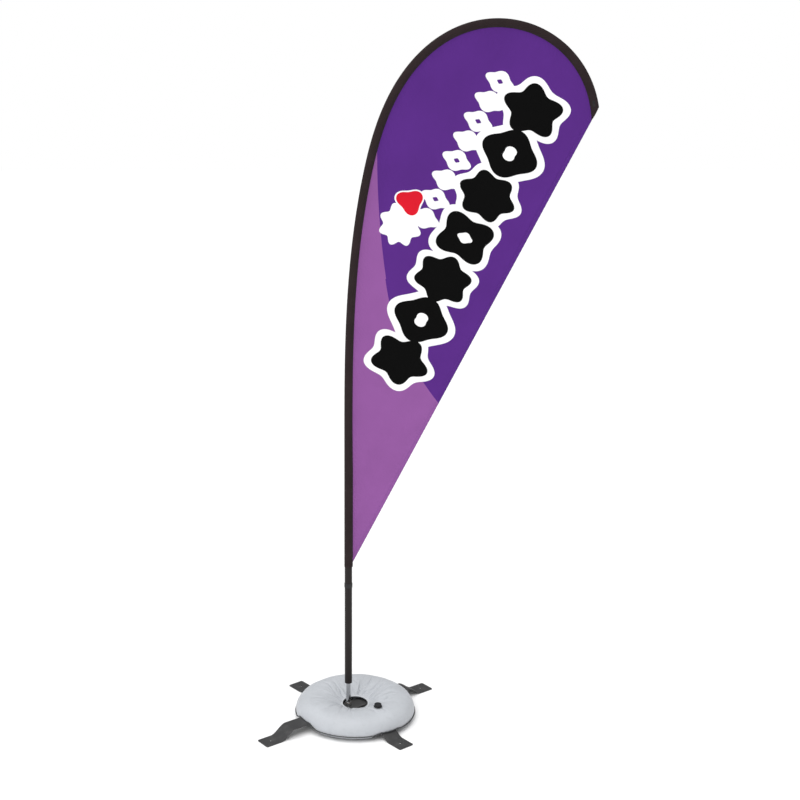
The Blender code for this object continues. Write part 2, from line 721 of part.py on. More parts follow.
def tension_strap(parent):
    """Webbing sewn to the back of the pocket, which pulls the flag down to a band on the pole."""
    front = POCKET_RADIUS + GAP
    back = front + STRAP_THICKNESS
    bottom = POCKET_BOTTOM - STRAP_DROP
    top = POCKET_BOTTOM + STRAP_OVERLAP
    half = STRAP_WIDTH / 2.0
    outline = [(-half, bottom), (half, bottom), (half, top), (-half, top)]
    extruded("tension_strap", outline, front, back, parent, "webbing")
    inner = POLE_RADII[0] + GAP
    outer = inner + ANCHOR_WALL
    top = bottom - GAP
    bottom = top - ANCHOR_HEIGHT
    band = turned("strap_anchor", sleeve_profile(inner, outer, bottom, top), parent, "black_plastic")
    outline = [(-half, bottom), (half, bottom), (half, top), (-half, top)]
    front = inner + ANCHOR_WALL / 2.0
    lug = extruded("strap_anchor_lug", outline, front, outer + ANCHOR_LUG, parent, None)
    boolean(band, lug, "UNION")


# Water bag

def water_bag(parent):
    """Filled ring with a welded seam round its rim and round its hole."""
    inner = BAG_HOLE_RADIUS + SEAM_WIDTH + GAP
    outer = BAG_RADIUS - SEAM_WIDTH - GAP
    middle = (inner + outer) / 2.0
    half_width = (outer - inner) / 2.0
    bottom = UPPER_BAR_TOP + GAP
    centre = bottom + BAG_HEIGHT / 2.0
    section = []
    for i in range(BAG_SECTION_SIDES):
        turn = 2.0 * math.pi * i / BAG_SECTION_SIDES
        across = math.copysign(abs(math.cos(turn)) ** BAG_PLUMPNESS, math.cos(turn))
        up = math.copysign(abs(math.sin(turn)) ** BAG_PLUMPNESS, math.sin(turn))
        section.append((middle + half_width * across, centre + BAG_HEIGHT / 2.0 * up))
    turned("water_bag", section, parent, "bag_vinyl", sides=BAG_SIDES)
    low = centre - SEAM_THICKNESS / 2.0
    high = centre + SEAM_THICKNESS / 2.0
    rim = sleeve_profile(outer + GAP, BAG_RADIUS, low, high)
    turned("bag_outer_seam", rim, parent, "bag_piping", sides=BAG_SIDES)
    rim = sleeve_profile(BAG_HOLE_RADIUS, inner - GAP, low, high)
    turned("bag_inner_seam", rim, parent, "bag_vinyl", sides=BAG_SIDES)
    return middle, bottom + BAG_HEIGHT


def filler(middle, bag_top, bag_parent):
    """Neck welded to the top of the bag, with a screw cap on a gasket."""
    place = (middle * math.cos(FILLER_ANGLE), middle * math.sin(FILLER_ANGLE), bag_top + GAP)
    neck_parent = add_pivot("filler_place", place, bag_parent)
    bore = FILLER_NECK_RADIUS - FILLER_WALL
    flange_top = FILLER_FLANGE_THICKNESS
    neck_top = flange_top + FILLER_NECK_HEIGHT
    neck = [
        (bore, 0.0), (FILLER_FLANGE_RADIUS, 0.0), (FILLER_FLANGE_RADIUS, flange_top),
        (FILLER_NECK_RADIUS, flange_top), (FILLER_NECK_RADIUS, neck_top), (bore, neck_top),
    ]
    turned("filler_neck", neck, neck_parent, "black_plastic")
    gasket_bottom = neck_top + GAP
    gasket_top = gasket_bottom + GASKET_THICKNESS
    gasket = sleeve_profile(bore, FILLER_NECK_RADIUS, gasket_bottom, gasket_top)
    turned("filler_gasket", gasket, neck_parent, "rubber")
    ceiling = gasket_top + GAP
    top = ceiling + FILLER_CAP_ROOF
    skirt = flange_top + RUNNING_GAP
    inner = FILLER_NECK_RADIUS + RUNNING_GAP
    chamfer = FILLER_CAP_ROOF / 2.0
    cap = [
        (0.0, ceiling), (inner, ceiling), (inner, skirt), (FILLER_CAP_RADIUS, skirt),
        (FILLER_CAP_RADIUS, top - chamfer), (FILLER_CAP_RADIUS - chamfer, top), (0.0, top),
    ]
    turned("filler_cap", cap, neck_parent, "black_plastic")


# Assembly

def centre_on_floor(stand):
    """Moves the whole flag so that the middle of its box stands over the origin."""
    bpy.context.view_layer.update()
    graph = bpy.context.evaluated_depsgraph_get()
    corners = []
    for obj in bpy.context.view_layer.objects:
        if obj.type == "MESH" and not obj.hide_render:
            shown = obj.evaluated_get(graph)
            corners += [shown.matrix_world @ Vector(corner) for corner in shown.bound_box]
    stand.location.x = -(min(c.x for c in corners) + max(c.x for c in corners)) / 2.0
    stand.location.y = -(min(c.y for c in corners) + max(c.y for c in corners)) / 2.0


def main():
    clear_scene()
    stand = add_pivot("stand", (0.0, 0.0, 0.0), None)
    cage = add_pivot("bearing_cage_axis", (0.0, 0.0, 0.0), stand)
    spindle_axis = add_pivot("spindle_axis", (0.0, 0.0, 0.0), stand)
    pole_axis = add_pivot("pole_axis", (0.0, 0.0, 0.0), spindle_axis)
    bag_axis = add_pivot("bag_axis", (BAG_OFFSET, 0.0, 0.0), stand)

    base(stand)
    bearing(stand, cage, spindle_axis)
    spindle(stand, spindle_axis)

    longest = SECTION_ENDS[-1] + 2.0 * (SECTION_ENDS[-1] - SECTION_ENDS[-2])
    stations = pole_course(longest)
    total = pocket_length(stations)
    pole_socket(pole_axis)
    pole(stations, total, pole_axis)
    flag(stations, total, pole_axis)
    tension_strap(pole_axis)

    middle, bag_top = water_bag(bag_axis)
    filler(middle, bag_top, bag_axis)
    centre_on_floor(stand)


main()
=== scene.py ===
# Teardrop flag on a cross base: the looks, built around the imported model
import contextlib
import json
import math
import bmesh
import bpy
import numpy as np
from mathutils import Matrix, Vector, noise

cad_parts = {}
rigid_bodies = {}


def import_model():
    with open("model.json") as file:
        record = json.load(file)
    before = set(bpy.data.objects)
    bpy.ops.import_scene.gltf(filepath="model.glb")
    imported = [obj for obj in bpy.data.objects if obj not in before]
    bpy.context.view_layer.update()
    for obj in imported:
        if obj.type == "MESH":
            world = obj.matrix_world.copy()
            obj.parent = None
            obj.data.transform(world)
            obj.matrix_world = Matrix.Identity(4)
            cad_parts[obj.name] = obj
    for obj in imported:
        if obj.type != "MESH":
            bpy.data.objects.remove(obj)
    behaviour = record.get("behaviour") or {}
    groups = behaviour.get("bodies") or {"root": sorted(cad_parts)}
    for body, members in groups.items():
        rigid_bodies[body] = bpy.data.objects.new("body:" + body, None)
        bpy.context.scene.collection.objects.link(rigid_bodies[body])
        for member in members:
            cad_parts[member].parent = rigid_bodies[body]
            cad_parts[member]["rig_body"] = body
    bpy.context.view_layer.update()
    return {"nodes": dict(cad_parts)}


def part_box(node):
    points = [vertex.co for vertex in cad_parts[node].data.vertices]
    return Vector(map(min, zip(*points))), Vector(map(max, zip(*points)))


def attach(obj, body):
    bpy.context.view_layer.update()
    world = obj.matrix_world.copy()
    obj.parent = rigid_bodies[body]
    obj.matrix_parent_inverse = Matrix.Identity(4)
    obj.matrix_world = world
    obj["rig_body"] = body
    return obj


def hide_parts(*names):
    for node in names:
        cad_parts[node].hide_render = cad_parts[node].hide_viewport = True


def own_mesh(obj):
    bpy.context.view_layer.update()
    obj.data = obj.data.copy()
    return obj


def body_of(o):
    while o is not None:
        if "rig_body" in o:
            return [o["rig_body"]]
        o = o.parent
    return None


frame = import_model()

spindleLow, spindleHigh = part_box("spindle_tube")
poleX = (spindleLow.x + spindleHigh.x) / 2
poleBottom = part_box("pole_section_1")[0].z
weldDistance = 1e-6

# camera, light and floor
viewing = {
    "height": 2.796,
    "distance": 5.486,
    "tilt": 75.96,  # degrees up from straight down
    "lens": 61.38,
    "shift": 0.0645,
}
lighting = {
    "sky": 0.47,  # even light from all round
    "gloss": 0.22,  # how bright the room looks in shiny surfaces
    "front": 52.0,  # watts of the wide light in front
    "sun": 2.3,
    "frontSize": 3.0,
    "frontFrom": (-1.2, -4.6, 3.4),  # counted from the pole's foot
    "frontTo": (0.3, 0, 1.5),
    "sunSize": math.radians(70),
    "sunLean": (math.radians(12), math.radians(-10), 0),
    "floorShade": 0.94,
    "floorReach": 30.0,
}


def newObject(name, data):
    made = bpy.data.objects.new(name, data)
    bpy.context.scene.collection.objects.link(made)
    return made


def makeCamera():
    data = bpy.data.cameras.new("camera")
    data.lens = viewing["lens"]
    data.shift_x = viewing["shift"]
    camera = newObject("camera", data)
    camera.location = (poleX, -viewing["distance"], viewing["height"])
    camera.rotation_euler = (math.radians(viewing["tilt"]), 0, 0)
    bpy.context.scene.camera = camera


def makeRoom():
    world = bpy.data.worlds.new("room")
    bpy.context.scene.world = world
    world.use_nodes = True
    tree = world.node_tree
    tree.nodes.clear()
    rays = tree.nodes.new("ShaderNodeLightPath").outputs
    lit = addNode(tree, "ShaderNodeMix", i0=rays["Is Glossy Ray"], i2=lighting["sky"], i3=lighting["gloss"])
    seen = addNode(tree, "ShaderNodeMix", i0=rays["Is Camera Ray"], i2=lit.outputs[0], i3=1.0)
    background = addNode(tree, "ShaderNodeBackground", Color=(1, 1, 1, 1), Strength=seen.outputs[0])
    addNode(tree, "ShaderNodeOutputWorld", Surface=background.outputs[0])
    bpy.context.scene.view_settings.view_transform = "Standard"


def makeLights():
    wide = bpy.data.lights.new("front_light", "AREA")
    wide.size = lighting["frontSize"]
    wide.energy = lighting["front"]
    place, target = (Vector(lighting[key]) + Vector((poleX, 0, 0)) for key in ("frontFrom", "frontTo"))
    front = newObject("front_light", wide)
    front.location = place
    front.rotation_euler = (target - place).to_track_quat("-Z", "Y").to_euler()
    even = bpy.data.lights.new("soft_sun", "SUN")
    even.energy = lighting["sun"]
    even.angle = lighting["sunSize"]
    newObject("soft_sun", even).rotation_euler = lighting["sunLean"]


# gives a node its inputs, by name or by number as i0, i1 and so on
def feed(tree, node, **sockets):
    for key, value in sockets.items():
        socket = node.inputs[int(key[1:])] if key[1:].isdigit() else node.inputs[key.replace("_", " ")]
        if isinstance(value, bpy.types.NodeSocket):
            tree.links.new(value, socket)
        else:
            socket.default_value = value


def addNode(tree, kind, settings=None, **sockets):
    made = tree.nodes.new(kind)
    for key, value in (settings or {}).items():
        setattr(made, key, value)
    feed(tree, made, **sockets)
    return made


def calculate(tree, operation, *values):
    sockets = {f"i{i}": value for i, value in enumerate(values)}
    return addNode(tree, "ShaderNodeMath", {"operation": operation}, **sockets).outputs[0]


def squaredLength(tree, x, y):
    return calculate(tree, "MULTIPLY_ADD", x, x, calculate(tree, "MULTIPLY", y, y))


def mixColours(tree, share, first, second, blend="MIX"):
    settings = {"data_type": "RGBA", "blend_type": blend}
    return addNode(tree, "ShaderNodeMix", settings, i0=share, i6=first, i7=second).outputs[2]


def newMaterial(name, colour, roughness, metallic=0.0):
    made = bpy.data.materials.new(name)
    made.use_nodes = True
    made.diffuse_color = (*colour, 1)
    tree = made.node_tree
    shader = tree.nodes["Principled BSDF"]
    feed(tree, shader, Base_Color=(*colour, 1), Roughness=roughness, Metallic=metallic,
         Specular_IOR_Level=0.5 if metallic else 0.25)
    return made, tree, shader


def objectPlace(tree):
    return tree.nodes.new("ShaderNodeTexCoord").outputs["Object"]


def clothPlace(tree):
    return tree.nodes.new("ShaderNodeTexCoord").outputs["UV"]


def noiseOf(tree, place, scale, detail=3.0, stretch=None):
    if stretch:
        place = addNode(tree, "ShaderNodeMapping", i0=place, i3=stretch).outputs[0]
    return addNode(tree, "ShaderNodeTexNoise", Vector=place, Scale=scale, Detail=detail).outputs["Fac"]


def spread(tree, value, low, high, fromLow=0.3, fromHigh=0.7):
    return addNode(tree, "ShaderNodeMapRange", i0=value, i1=fromLow, i2=fromHigh, i3=low, i4=high).outputs[0]


# one grey shade as a colour, to multiply another with
def greyOf(tree, shade):
    return addNode(tree, "ShaderNodeCombineColor", i0=shade, i1=shade, i2=shade).outputs[0]


def addBump(tree, shader, height, distance, strength=1.0):
    made = addNode(tree, "ShaderNodeBump", Height=height, Distance=distance, Strength=strength)
    feed(tree, shader, Normal=made.outputs[0])


# a mesh opened for changes and put back
@contextlib.contextmanager
def opened(mesh):
    shape = bmesh.new()
    shape.from_mesh(mesh)
    yield shape
    shape.to_mesh(mesh)
    shape.free()


# a surface through rows of points, its matching ends welded
def gridObject(name, points, flat=None, material=None, sharp=40):
    rows, columns = points.shape[:2]
    index = np.arange(rows * columns).reshape(rows, columns)
    quads = np.stack([index[:-1, :-1], index[:-1, 1:], index[1:, 1:], index[1:, :-1]], -1).reshape(-1, 4)
    mesh = bpy.data.meshes.new(name)
    mesh.from_pydata(points.reshape(-1, 3).tolist(), [], quads.tolist())
    if flat is not None:
        layer = mesh.uv_layers.new(name="cloth")
        layer.data.foreach_set("uv", flat.reshape(-1, 2)[quads.ravel()].astype(np.float32).ravel())
    with opened(mesh) as shape:
        bmesh.ops.remove_doubles(shape, verts=shape.verts, dist=weldDistance)
        bmesh.ops.dissolve_degenerate(shape, edges=shape.edges, dist=weldDistance / 10)
        bmesh.ops.recalc_face_normals(shape, faces=shape.faces)
    mesh.shade_smooth()
    mesh.set_sharp_from_angle(angle=math.radians(sharp))
    if material:
        mesh.materials.append(material)
    return newObject(name, mesh)


# a piece rides where a CAD node does and stands for it
def standFor(piece, node):
    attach(piece, body_of(frame["nodes"][node])[0])
    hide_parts(node)
    return piece


def closeHoles(piece, sides=0):
    with opened(piece.data) as shape:
        bmesh.ops.holes_fill(shape, edges=shape.edges, sides=sides)
        bmesh.ops.recalc_face_normals(shape, faces=shape.faces)


def applyModifiers(piece):
    graph = bpy.context.evaluated_depsgraph_get()
    piece.data = bpy.data.meshes.new_from_object(piece.evaluated_get(graph), depsgraph=graph)
    piece.modifiers.clear()


def thicken(piece, thickness, offset=0):
    solid = piece.modifiers.new("thickness", "SOLIDIFY")
    solid.thickness = thickness
    solid.offset = offset


# the pole's line, from its lower end, and the flag's cut
poleLine = {
    "straightEnd": 1.093,
    "slowBendEnd": 2.202,
    "fullBendStart": 2.902,
    "slowCurvature": 0.369,
    "fullCurvature": 2.529,
    "traced": 3.9,
    "step": 0.002,
}
flagCut = {
    "sleeveRadius": 0.0173,
    "sleeveBottom": 0.690,
    "lowTip": 0.708,
    "freeEdge": math.radians(63.05),
    "seams": ([0, 0.95, 1.15, 3.9], [0.0175, 0.0175, 0.0155, 0.0155]),  # along the pole, then beside it
    "lap": 0.0016,  # sleeve sewn over the panel's edge
    "lapHalf": 0.0011,  # half of the lap's thickness
    "hem": 0.016,
    "panelThickness": 0.0006,
}


# distances, places and inward directions along the pole
def traceLine():
    along = np.arange(0, poleLine["traced"], poleLine["step"])
    knots = [0, *(poleLine[key] for key in ("straightEnd", "slowBendEnd", "fullBendStart", "traced"))]
    bends = [0, 0, poleLine["slowCurvature"], poleLine["fullCurvature"], poleLine["fullCurvature"]]
    turned = np.concatenate([[0], np.cumsum(np.interp(along[:-1] + poleLine["step"] / 2, knots, bends))])
    heading = math.pi / 2 - turned * poleLine["step"]
    middle = (heading[:-1] + heading[1:]) / 2
    across = np.concatenate([[0], np.cumsum(np.cos(middle))]) * poleLine["step"]
    up = np.concatenate([[0], np.cumsum(np.sin(middle))]) * poleLine["step"]
    return along, np.stack([across, up + poleBottom], 1), np.stack([np.sin(heading), -np.cos(heading)], 1)


along, centreLine, inward = traceLine()
edgeWay = np.array([math.cos(flagCut["freeEdge"]), math.sin(flagCut["freeEdge"])])
edgeInside = np.array([-edgeWay[1], edgeWay[0]])
edgeStart = np.array([flagCut["sleeveRadius"], flagCut["lowTip"]])


# places at these distances along the pole, moved inwards by offset. X counts from the pole
def besidePole(distances, offset):
    line = [np.interp(distances, along, column) for column in centreLine.T]
    ways = [np.interp(distances, along, column) for column in inward.T]
    return np.stack([place + way * offset for place, way in zip(line, ways)], -1)


# how far beside the pole's axis the sleeve is sewn to the panel
def seamBeside(distances):
    return np.interp(distances, *flagCut["seams"])


# how far along the pole a line beside it runs before it meets the free edge
def railEnd(offset):
    inside = (centreLine + inward * offset - edgeStart) @ edgeInside
    started = along > poleLine["slowBendEnd"]
    last = np.argmax(started & (inside < 0))
    share = inside[last - 1] / (inside[last - 1] - inside[last])
    return along[last - 1] + share * poleLine["step"]


# points in space from places on the flag's plane
def frontView(places, depth):
    depth = np.broadcast_to(depth, places.shape[:-1])
    return np.stack([places[..., 0] + poleX, depth, places[..., 1]], -1)


def smoothNoise(x, y, z=0.0):
    x, y, z = np.broadcast_arrays(x, y, z)
    values = [noise.noise(place) for place in zip(x.ravel(), y.ravel(), z.ravel())]
    return np.array(values).reshape(x.shape)


# threads both ways, one pitch apart, on flat lengths in metres
def weaveHeight(tree, place, pitch):
    parts = addNode(tree, "ShaderNodeSeparateXYZ", i0=place)
    turn = 2 * math.pi / pitch
    warp = calculate(tree, "SINE", calculate(tree, "MULTIPLY", parts.outputs[0], turn))
    weft = calculate(tree, "SINE", calculate(tree, "MULTIPLY", parts.outputs[1], turn))
    return calculate(tree, "MULTIPLY", warp, weft)


clothLook = {
    "uneven": 0.12,
    "unevenScale": 14.0,
    "roughnessSwing": 0.08,
    "gloss": 0.1,
    "sheenRoughness": 0.5,
    "weaveDepth": 0.2,  # share of the threads' pitch
    "weaveStrength": 0.6,
}
coatLook = {
    "dustScale": 23.0,
    "mostDust": 0.16,
    "roughnessSwing": 0.06,
}
metalLook = {
    "markScale": 900.0,
    "markDepth": 0.00003,
    "stainScale": 60.0,
    "mostStain": 0.5,
}


def clothMaterial(name, colour, pitch, roughness, sheen, place=clothPlace):
    made, tree, shader = newMaterial(name, colour, roughness)
    place = place(tree)
    uneven = noiseOf(tree, place, clothLook["unevenScale"])
    shade = spread(tree, uneven, 1 - clothLook["uneven"], 1 + clothLook["uneven"])
    weave = weaveHeight(tree, place, pitch)
    tinted = mixColours(tree, 1.0, (*colour, 1), greyOf(tree, shade), "MULTIPLY")
    swing = clothLook["roughnessSwing"]
    rough = spread(tree, weave, roughness + swing, roughness - swing, -1, 1)
    feed(tree, shader, Base_Color=tinted, Roughness=rough, Specular_IOR_Level=clothLook["gloss"],
         Sheen_Weight=sheen, Sheen_Roughness=clothLook["sheenRoughness"])
    addBump(tree, shader, weave, pitch * clothLook["weaveDepth"], clothLook["weaveStrength"])
    return made


# paint, powder coat or moulded plastic: a fine skin with dusty places
def coatMaterial(name, colour, roughness, grain, depth, dust=(0.25, 0.25, 0.24)):
    made, tree, shader = newMaterial(name, colour, roughness)
    place = objectPlace(tree)
    skin = noiseOf(tree, place, grain, 2.0)
    dusty = noiseOf(tree, place, coatLook["dustScale"], 6.0)
    dusty = spread(tree, dusty, 0.0, coatLook["mostDust"], 0.5, 0.8)
    swing = coatLook["roughnessSwing"]
    rough = calculate(tree, "ADD", spread(tree, skin, roughness - swing, roughness + swing), dusty)
    feed(tree, shader, Base_Color=mixColours(tree, dusty, (*colour, 1), (*dust, 1)), Roughness=rough)
    addBump(tree, shader, skin, depth)
    return made


# bare or plated metal with fine tool marks and faint stains
def metalMaterial(name, colour, roughness, stretch=(1, 1, 1), tint=(0.9, 0.88, 0.8)):
    made, tree, shader = newMaterial(name, colour, roughness, 1.0)
    place = objectPlace(tree)
    marks = noiseOf(tree, place, metalLook["markScale"], 2.0, stretch)
    stains = noiseOf(tree, place, metalLook["stainScale"], 5.0)
    stained = spread(tree, stains, 0.0, metalLook["mostStain"], 0.45, 0.8)
    stain = tuple(a * b for a, b in zip(colour, tint))
    rough = spread(tree, marks, roughness * 0.8, roughness * 1.4)
    feed(tree, shader, Base_Color=mixColours(tree, stained, (*colour, 1), (*stain, 1)), Roughness=rough)
    addBump(tree, shader, marks, metalLook["markDepth"])
    return made


colours = {
    "darkPurple": (0.097, 0.0245, 0.224),
    "lightPurple": (0.280, 0.099, 0.328),
    "sleeve": (0.026, 0.017, 0.018),
    "pole": (0.013, 0.009, 0.0085),
    "bar": (0.050, 0.050, 0.051),
    "vinyl": (0.50, 0.52, 0.55),
    "white": (0.93, 0.93, 0.93),
    "ink": (0.002, 0.002, 0.002),
    "red": (0.68, 0.0115, 0.026),
}
finishes = {
    "sleeve": clothMaterial("sleeve_fabric", colours["sleeve"], 0.0012, 0.85, 0.05),
    "strap": clothMaterial("strap_webbing", (0.024, 0.024, 0.025), 0.0018, 0.85, 0.1),
    "thread": clothMaterial("sewing_thread", (0.035, 0.028, 0.032), 0.0006, 0.6, 0.1, place=objectPlace),
    "strapThread": clothMaterial("strap_thread", (0.10, 0.10, 0.105), 0.0006, 0.6, 0.1, place=objectPlace),
    "purpleThread": clothMaterial("purple_thread", (0.16, 0.06, 0.30), 0.0006, 0.6, 0.1, place=objectPlace),
    "bar": coatMaterial("powder_coat", colours["bar"], 0.5, 1400.0, 0.00012),
    "pole": coatMaterial("pole_lacquer", colours["pole"], 0.4, 500.0, 0.00003, dust=(0.036, 0.03, 0.028)),
    "plastic": coatMaterial("black_plastic", (0.022, 0.022, 0.024), 0.45, 1800.0, 0.00006),
    "rubber": coatMaterial("rubber", (0.018, 0.018, 0.018), 0.82, 1200.0, 0.00008),
    "nylon": coatMaterial("nylon", (0.72, 0.71, 0.66), 0.5, 800.0, 0.00003),
    "zinc": metalMaterial("zinc_plate", (0.56, 0.57, 0.58), 0.3),
    "chrome": metalMaterial("chrome", (0.52, 0.52, 0.53), 0.12, (1, 1, 0.02), (0.96, 0.95, 0.93)),
    "steel": metalMaterial("bearing_steel", (0.62, 0.62, 0.64), 0.16),
    "bronze": metalMaterial("bronze", (0.56, 0.36, 0.16), 0.32, tint=(0.7, 0.62, 0.5)),
}

# the print: plain ornaments in a band along the free edge
printing = {
    "bandStart": (0.212, 1.594),  # from the pole's axis and the floor
    "bandAngle": math.radians(62.85),
    "pitch": 0.188,
    "size": 0.089,
    "taller": 1.22,  # how much taller than wide
    "outline": 0.026,
    "smallStart": (0.561, 0.180),  # along the band and across it
    "smallStep": (0.0866, -0.0016),
    "smallCount": 8,
    "smallSize": 0.037,
    "leafOutline": 0.006,
    "upperArc": (3.638, 2.452, 3.524),  # centre across, centre up, radius
    "lowerArc": (1.160, 2.058, 1.018),
    "arcsMeet": 1.93,
    "roughness": 0.72,
    "roughnessSwing": 0.06,
    "gloss": 0.06,
    "sheen": 0.02,
    "weavePitch": 0.0011,
    "weaveDepth": 0.00018,
    "weaveStrength": 0.5,
    "unevenScale": 5.0,
}
# points of each big ornament, how deep they are cut, and its turn in degrees
bigShapes = [(5, 0.16, 18), (4, 0.10, 0), (6, 0.12, 0), (4, 0.18, 45),
             (6, 0.12, 30), (4, 0.10, 0), (5, 0.16, 54)]
# place along the band and across it, points, cut, turn, size, how much taller
ornaments = [(i * printing["pitch"], 0.0, *shape, printing["size"], printing["taller"])
             for i, shape in enumerate(bigShapes)]
hearts = [(i * printing["pitch"], 0.0, points, cut, 0, size, 1.5)
          for i, points, cut, size in ((1, 2, 0.3, 0.022), (3, 4, 0.1, 0.020), (5, 2, 0.3, 0.022))]
smallPlaces = [[start + i * step for start, step in zip(printing["smallStart"], printing["smallStep"])]
               for i in range(printing["smallCount"])]
smallOrnaments = [(*place, 4, 0.13, 0, printing["smallSize"], 1.5) for place in smallPlaces]
smallHearts = [(*place, 4, 0.1, 0, 0.008, 1.42) for place in smallPlaces[1::2]]
sun = [(0.494, 0.256, 8, 0.12, 0, 0.080, 1.0)]
leaf = [(0.592, 0.264, 3, 0.18, 25, 0.046, 1.1)]


# distance from an ornament's edge: its radius swings in and out once for each point
def ornamentGroup():
    tree = bpy.data.node_groups.new("ornament", "ShaderNodeTree")
    names = ("Along", "Across", "Centre Along", "Centre Across", "Points", "Cut", "Turn", "Size", "Taller")
    for name in names:
        tree.interface.new_socket(name, in_out="INPUT", socket_type="NodeSocketFloat")
    tree.interface.new_socket("Distance", in_out="OUTPUT", socket_type="NodeSocketFloat")
    given = tree.nodes.new("NodeGroupInput").outputs
    x = calculate(tree, "SUBTRACT", given["Along"], given["Centre Along"])
    y = calculate(tree, "SUBTRACT", given["Across"], given["Centre Across"])
    y = calculate(tree, "DIVIDE", y, given["Taller"])
    angle = calculate(tree, "ADD", calculate(tree, "ARCTAN2", y, x), given["Turn"])
    swing = calculate(tree, "COSINE", calculate(tree, "MULTIPLY", angle, given["Points"]))
    reach = calculate(tree, "MULTIPLY_ADD", swing, given["Cut"], 1.0)
    radius = calculate(tree, "SQRT", squaredLength(tree, x, y))
    distance = calculate(tree, "SUBTRACT", radius, calculate(tree, "MULTIPLY", reach, given["Size"]))
    tree.links.new(distance, tree.nodes.new("NodeGroupOutput").inputs["Distance"])
    return tree


def nearestOrnament(tree, group, along, across, listed):
    nearest = None
    for centreAlong, centreAcross, points, cut, turn, size, taller in listed:
        made = addNode(tree, "ShaderNodeGroup", {"node_tree": group}, Along=along, Across=across,
                       Centre_Along=centreAlong, Centre_Across=centreAcross, Points=points, Cut=cut,
                       Turn=math.radians(turn), Size=size, Taller=taller).outputs[0]
        nearest = made if nearest is None else calculate(tree, "MINIMUM", nearest, made)
    return nearest


def insideArc(tree, across, up, arc):
    x = calculate(tree, "SUBTRACT", across, arc[0])
    y = calculate(tree, "SUBTRACT", up, arc[1])
    return calculate(tree, "LESS_THAN", squaredLength(tree, x, y), arc[2] ** 2)


def printedCloth():
    made, tree, shader = newMaterial("printed_polyester", colours["darkPurple"], printing["roughness"])
    parts = addNode(tree, "ShaderNodeSeparateXYZ", i0=objectPlace(tree))
    across = calculate(tree, "SUBTRACT", parts.outputs[0], poleX)
    up = parts.outputs[2]
    aside, above = (calculate(tree, "SUBTRACT", value, start)
                    for value, start in zip((across, up), printing["bandStart"]))
    cosine, sine = math.cos(printing["bandAngle"]), math.sin(printing["bandAngle"])
    u = calculate(tree, "MULTIPLY_ADD", aside, cosine, calculate(tree, "MULTIPLY", above, sine))
    v = calculate(tree, "MULTIPLY_ADD", above, cosine, calculate(tree, "MULTIPLY", aside, -sine))
    group = ornamentGroup()
    big, heart, small, smallHeart, sunEdge, leafEdge = (
        nearestOrnament(tree, group, u, v, listed)
        for listed in (ornaments, hearts, smallOrnaments, smallHearts, sun, leaf))
    high = calculate(tree, "GREATER_THAN", up, printing["arcsMeet"])
    inUpper = insideArc(tree, across, up, printing["upperArc"])
    inLower = insideArc(tree, across, up, printing["lowerArc"])
    dark = addNode(tree, "ShaderNodeMix", i0=high, i2=inLower, i3=inUpper).outputs[0]
    colour = mixColours(tree, dark, (*colours["lightPurple"], 1), (*colours["darkPurple"], 1))
    layers = [
        (big, printing["outline"], "white"),
        (big, 0.0, "ink"),
        (heart, 0.0, "white"),
        (small, 0.0, "white"),
        (smallHeart, 0.0, "darkPurple"),
        (sunEdge, 0.0, "white"),
        (leafEdge, printing["leafOutline"], "white"),
        (leafEdge, 0.0, "red"),
    ]
    for distance, edge, ink in layers:
        colour = mixColours(tree, calculate(tree, "LESS_THAN", distance, edge), colour, (*colours[ink], 1))
    cloth = clothPlace(tree)
    weave = weaveHeight(tree, cloth, printing["weavePitch"])
    shade = spread(tree, noiseOf(tree, cloth, printing["unevenScale"], 4.0), 0.95, 1.05)
    colour = mixColours(tree, 1.0, colour, greyOf(tree, shade), "MULTIPLY")
    rough, swing = printing["roughness"], printing["roughnessSwing"]
    feed(tree, shader, Base_Color=colour, Roughness=spread(tree, weave, rough + swing, rough - swing, -1, 1),
         Specular_IOR_Level=printing["gloss"], Sheen_Weight=printing["sheen"])
    addBump(tree, shader, weave, printing["weaveDepth"], printing["weaveStrength"])
    return made


# the flag: printed panel, hem, sleeve and their stitches
clothShape = {
    "rows": 760,
    "hemRows": 1500,
    "columns": 44,
    "billow": 0.010,
    "folds": 0.0034,
    "sleevePucker": 0.0013,
    "hemPucker": 0.0009,
    "puckerSpacing": 0.021,
    "puckerReach": 0.022,
    "puckerWander": 5,
    "flatAtSeam": 0.012,
    "freeFrom": 0.06,  # square metres: distance from the sleeve times distance from the free edge
    "foldsAcross": 17,
    "foldsAlong": 1.7,
}


def freeEdgeLength(offset):
    return (besidePole(railEnd(offset), offset) - edgeStart) @ edgeWay


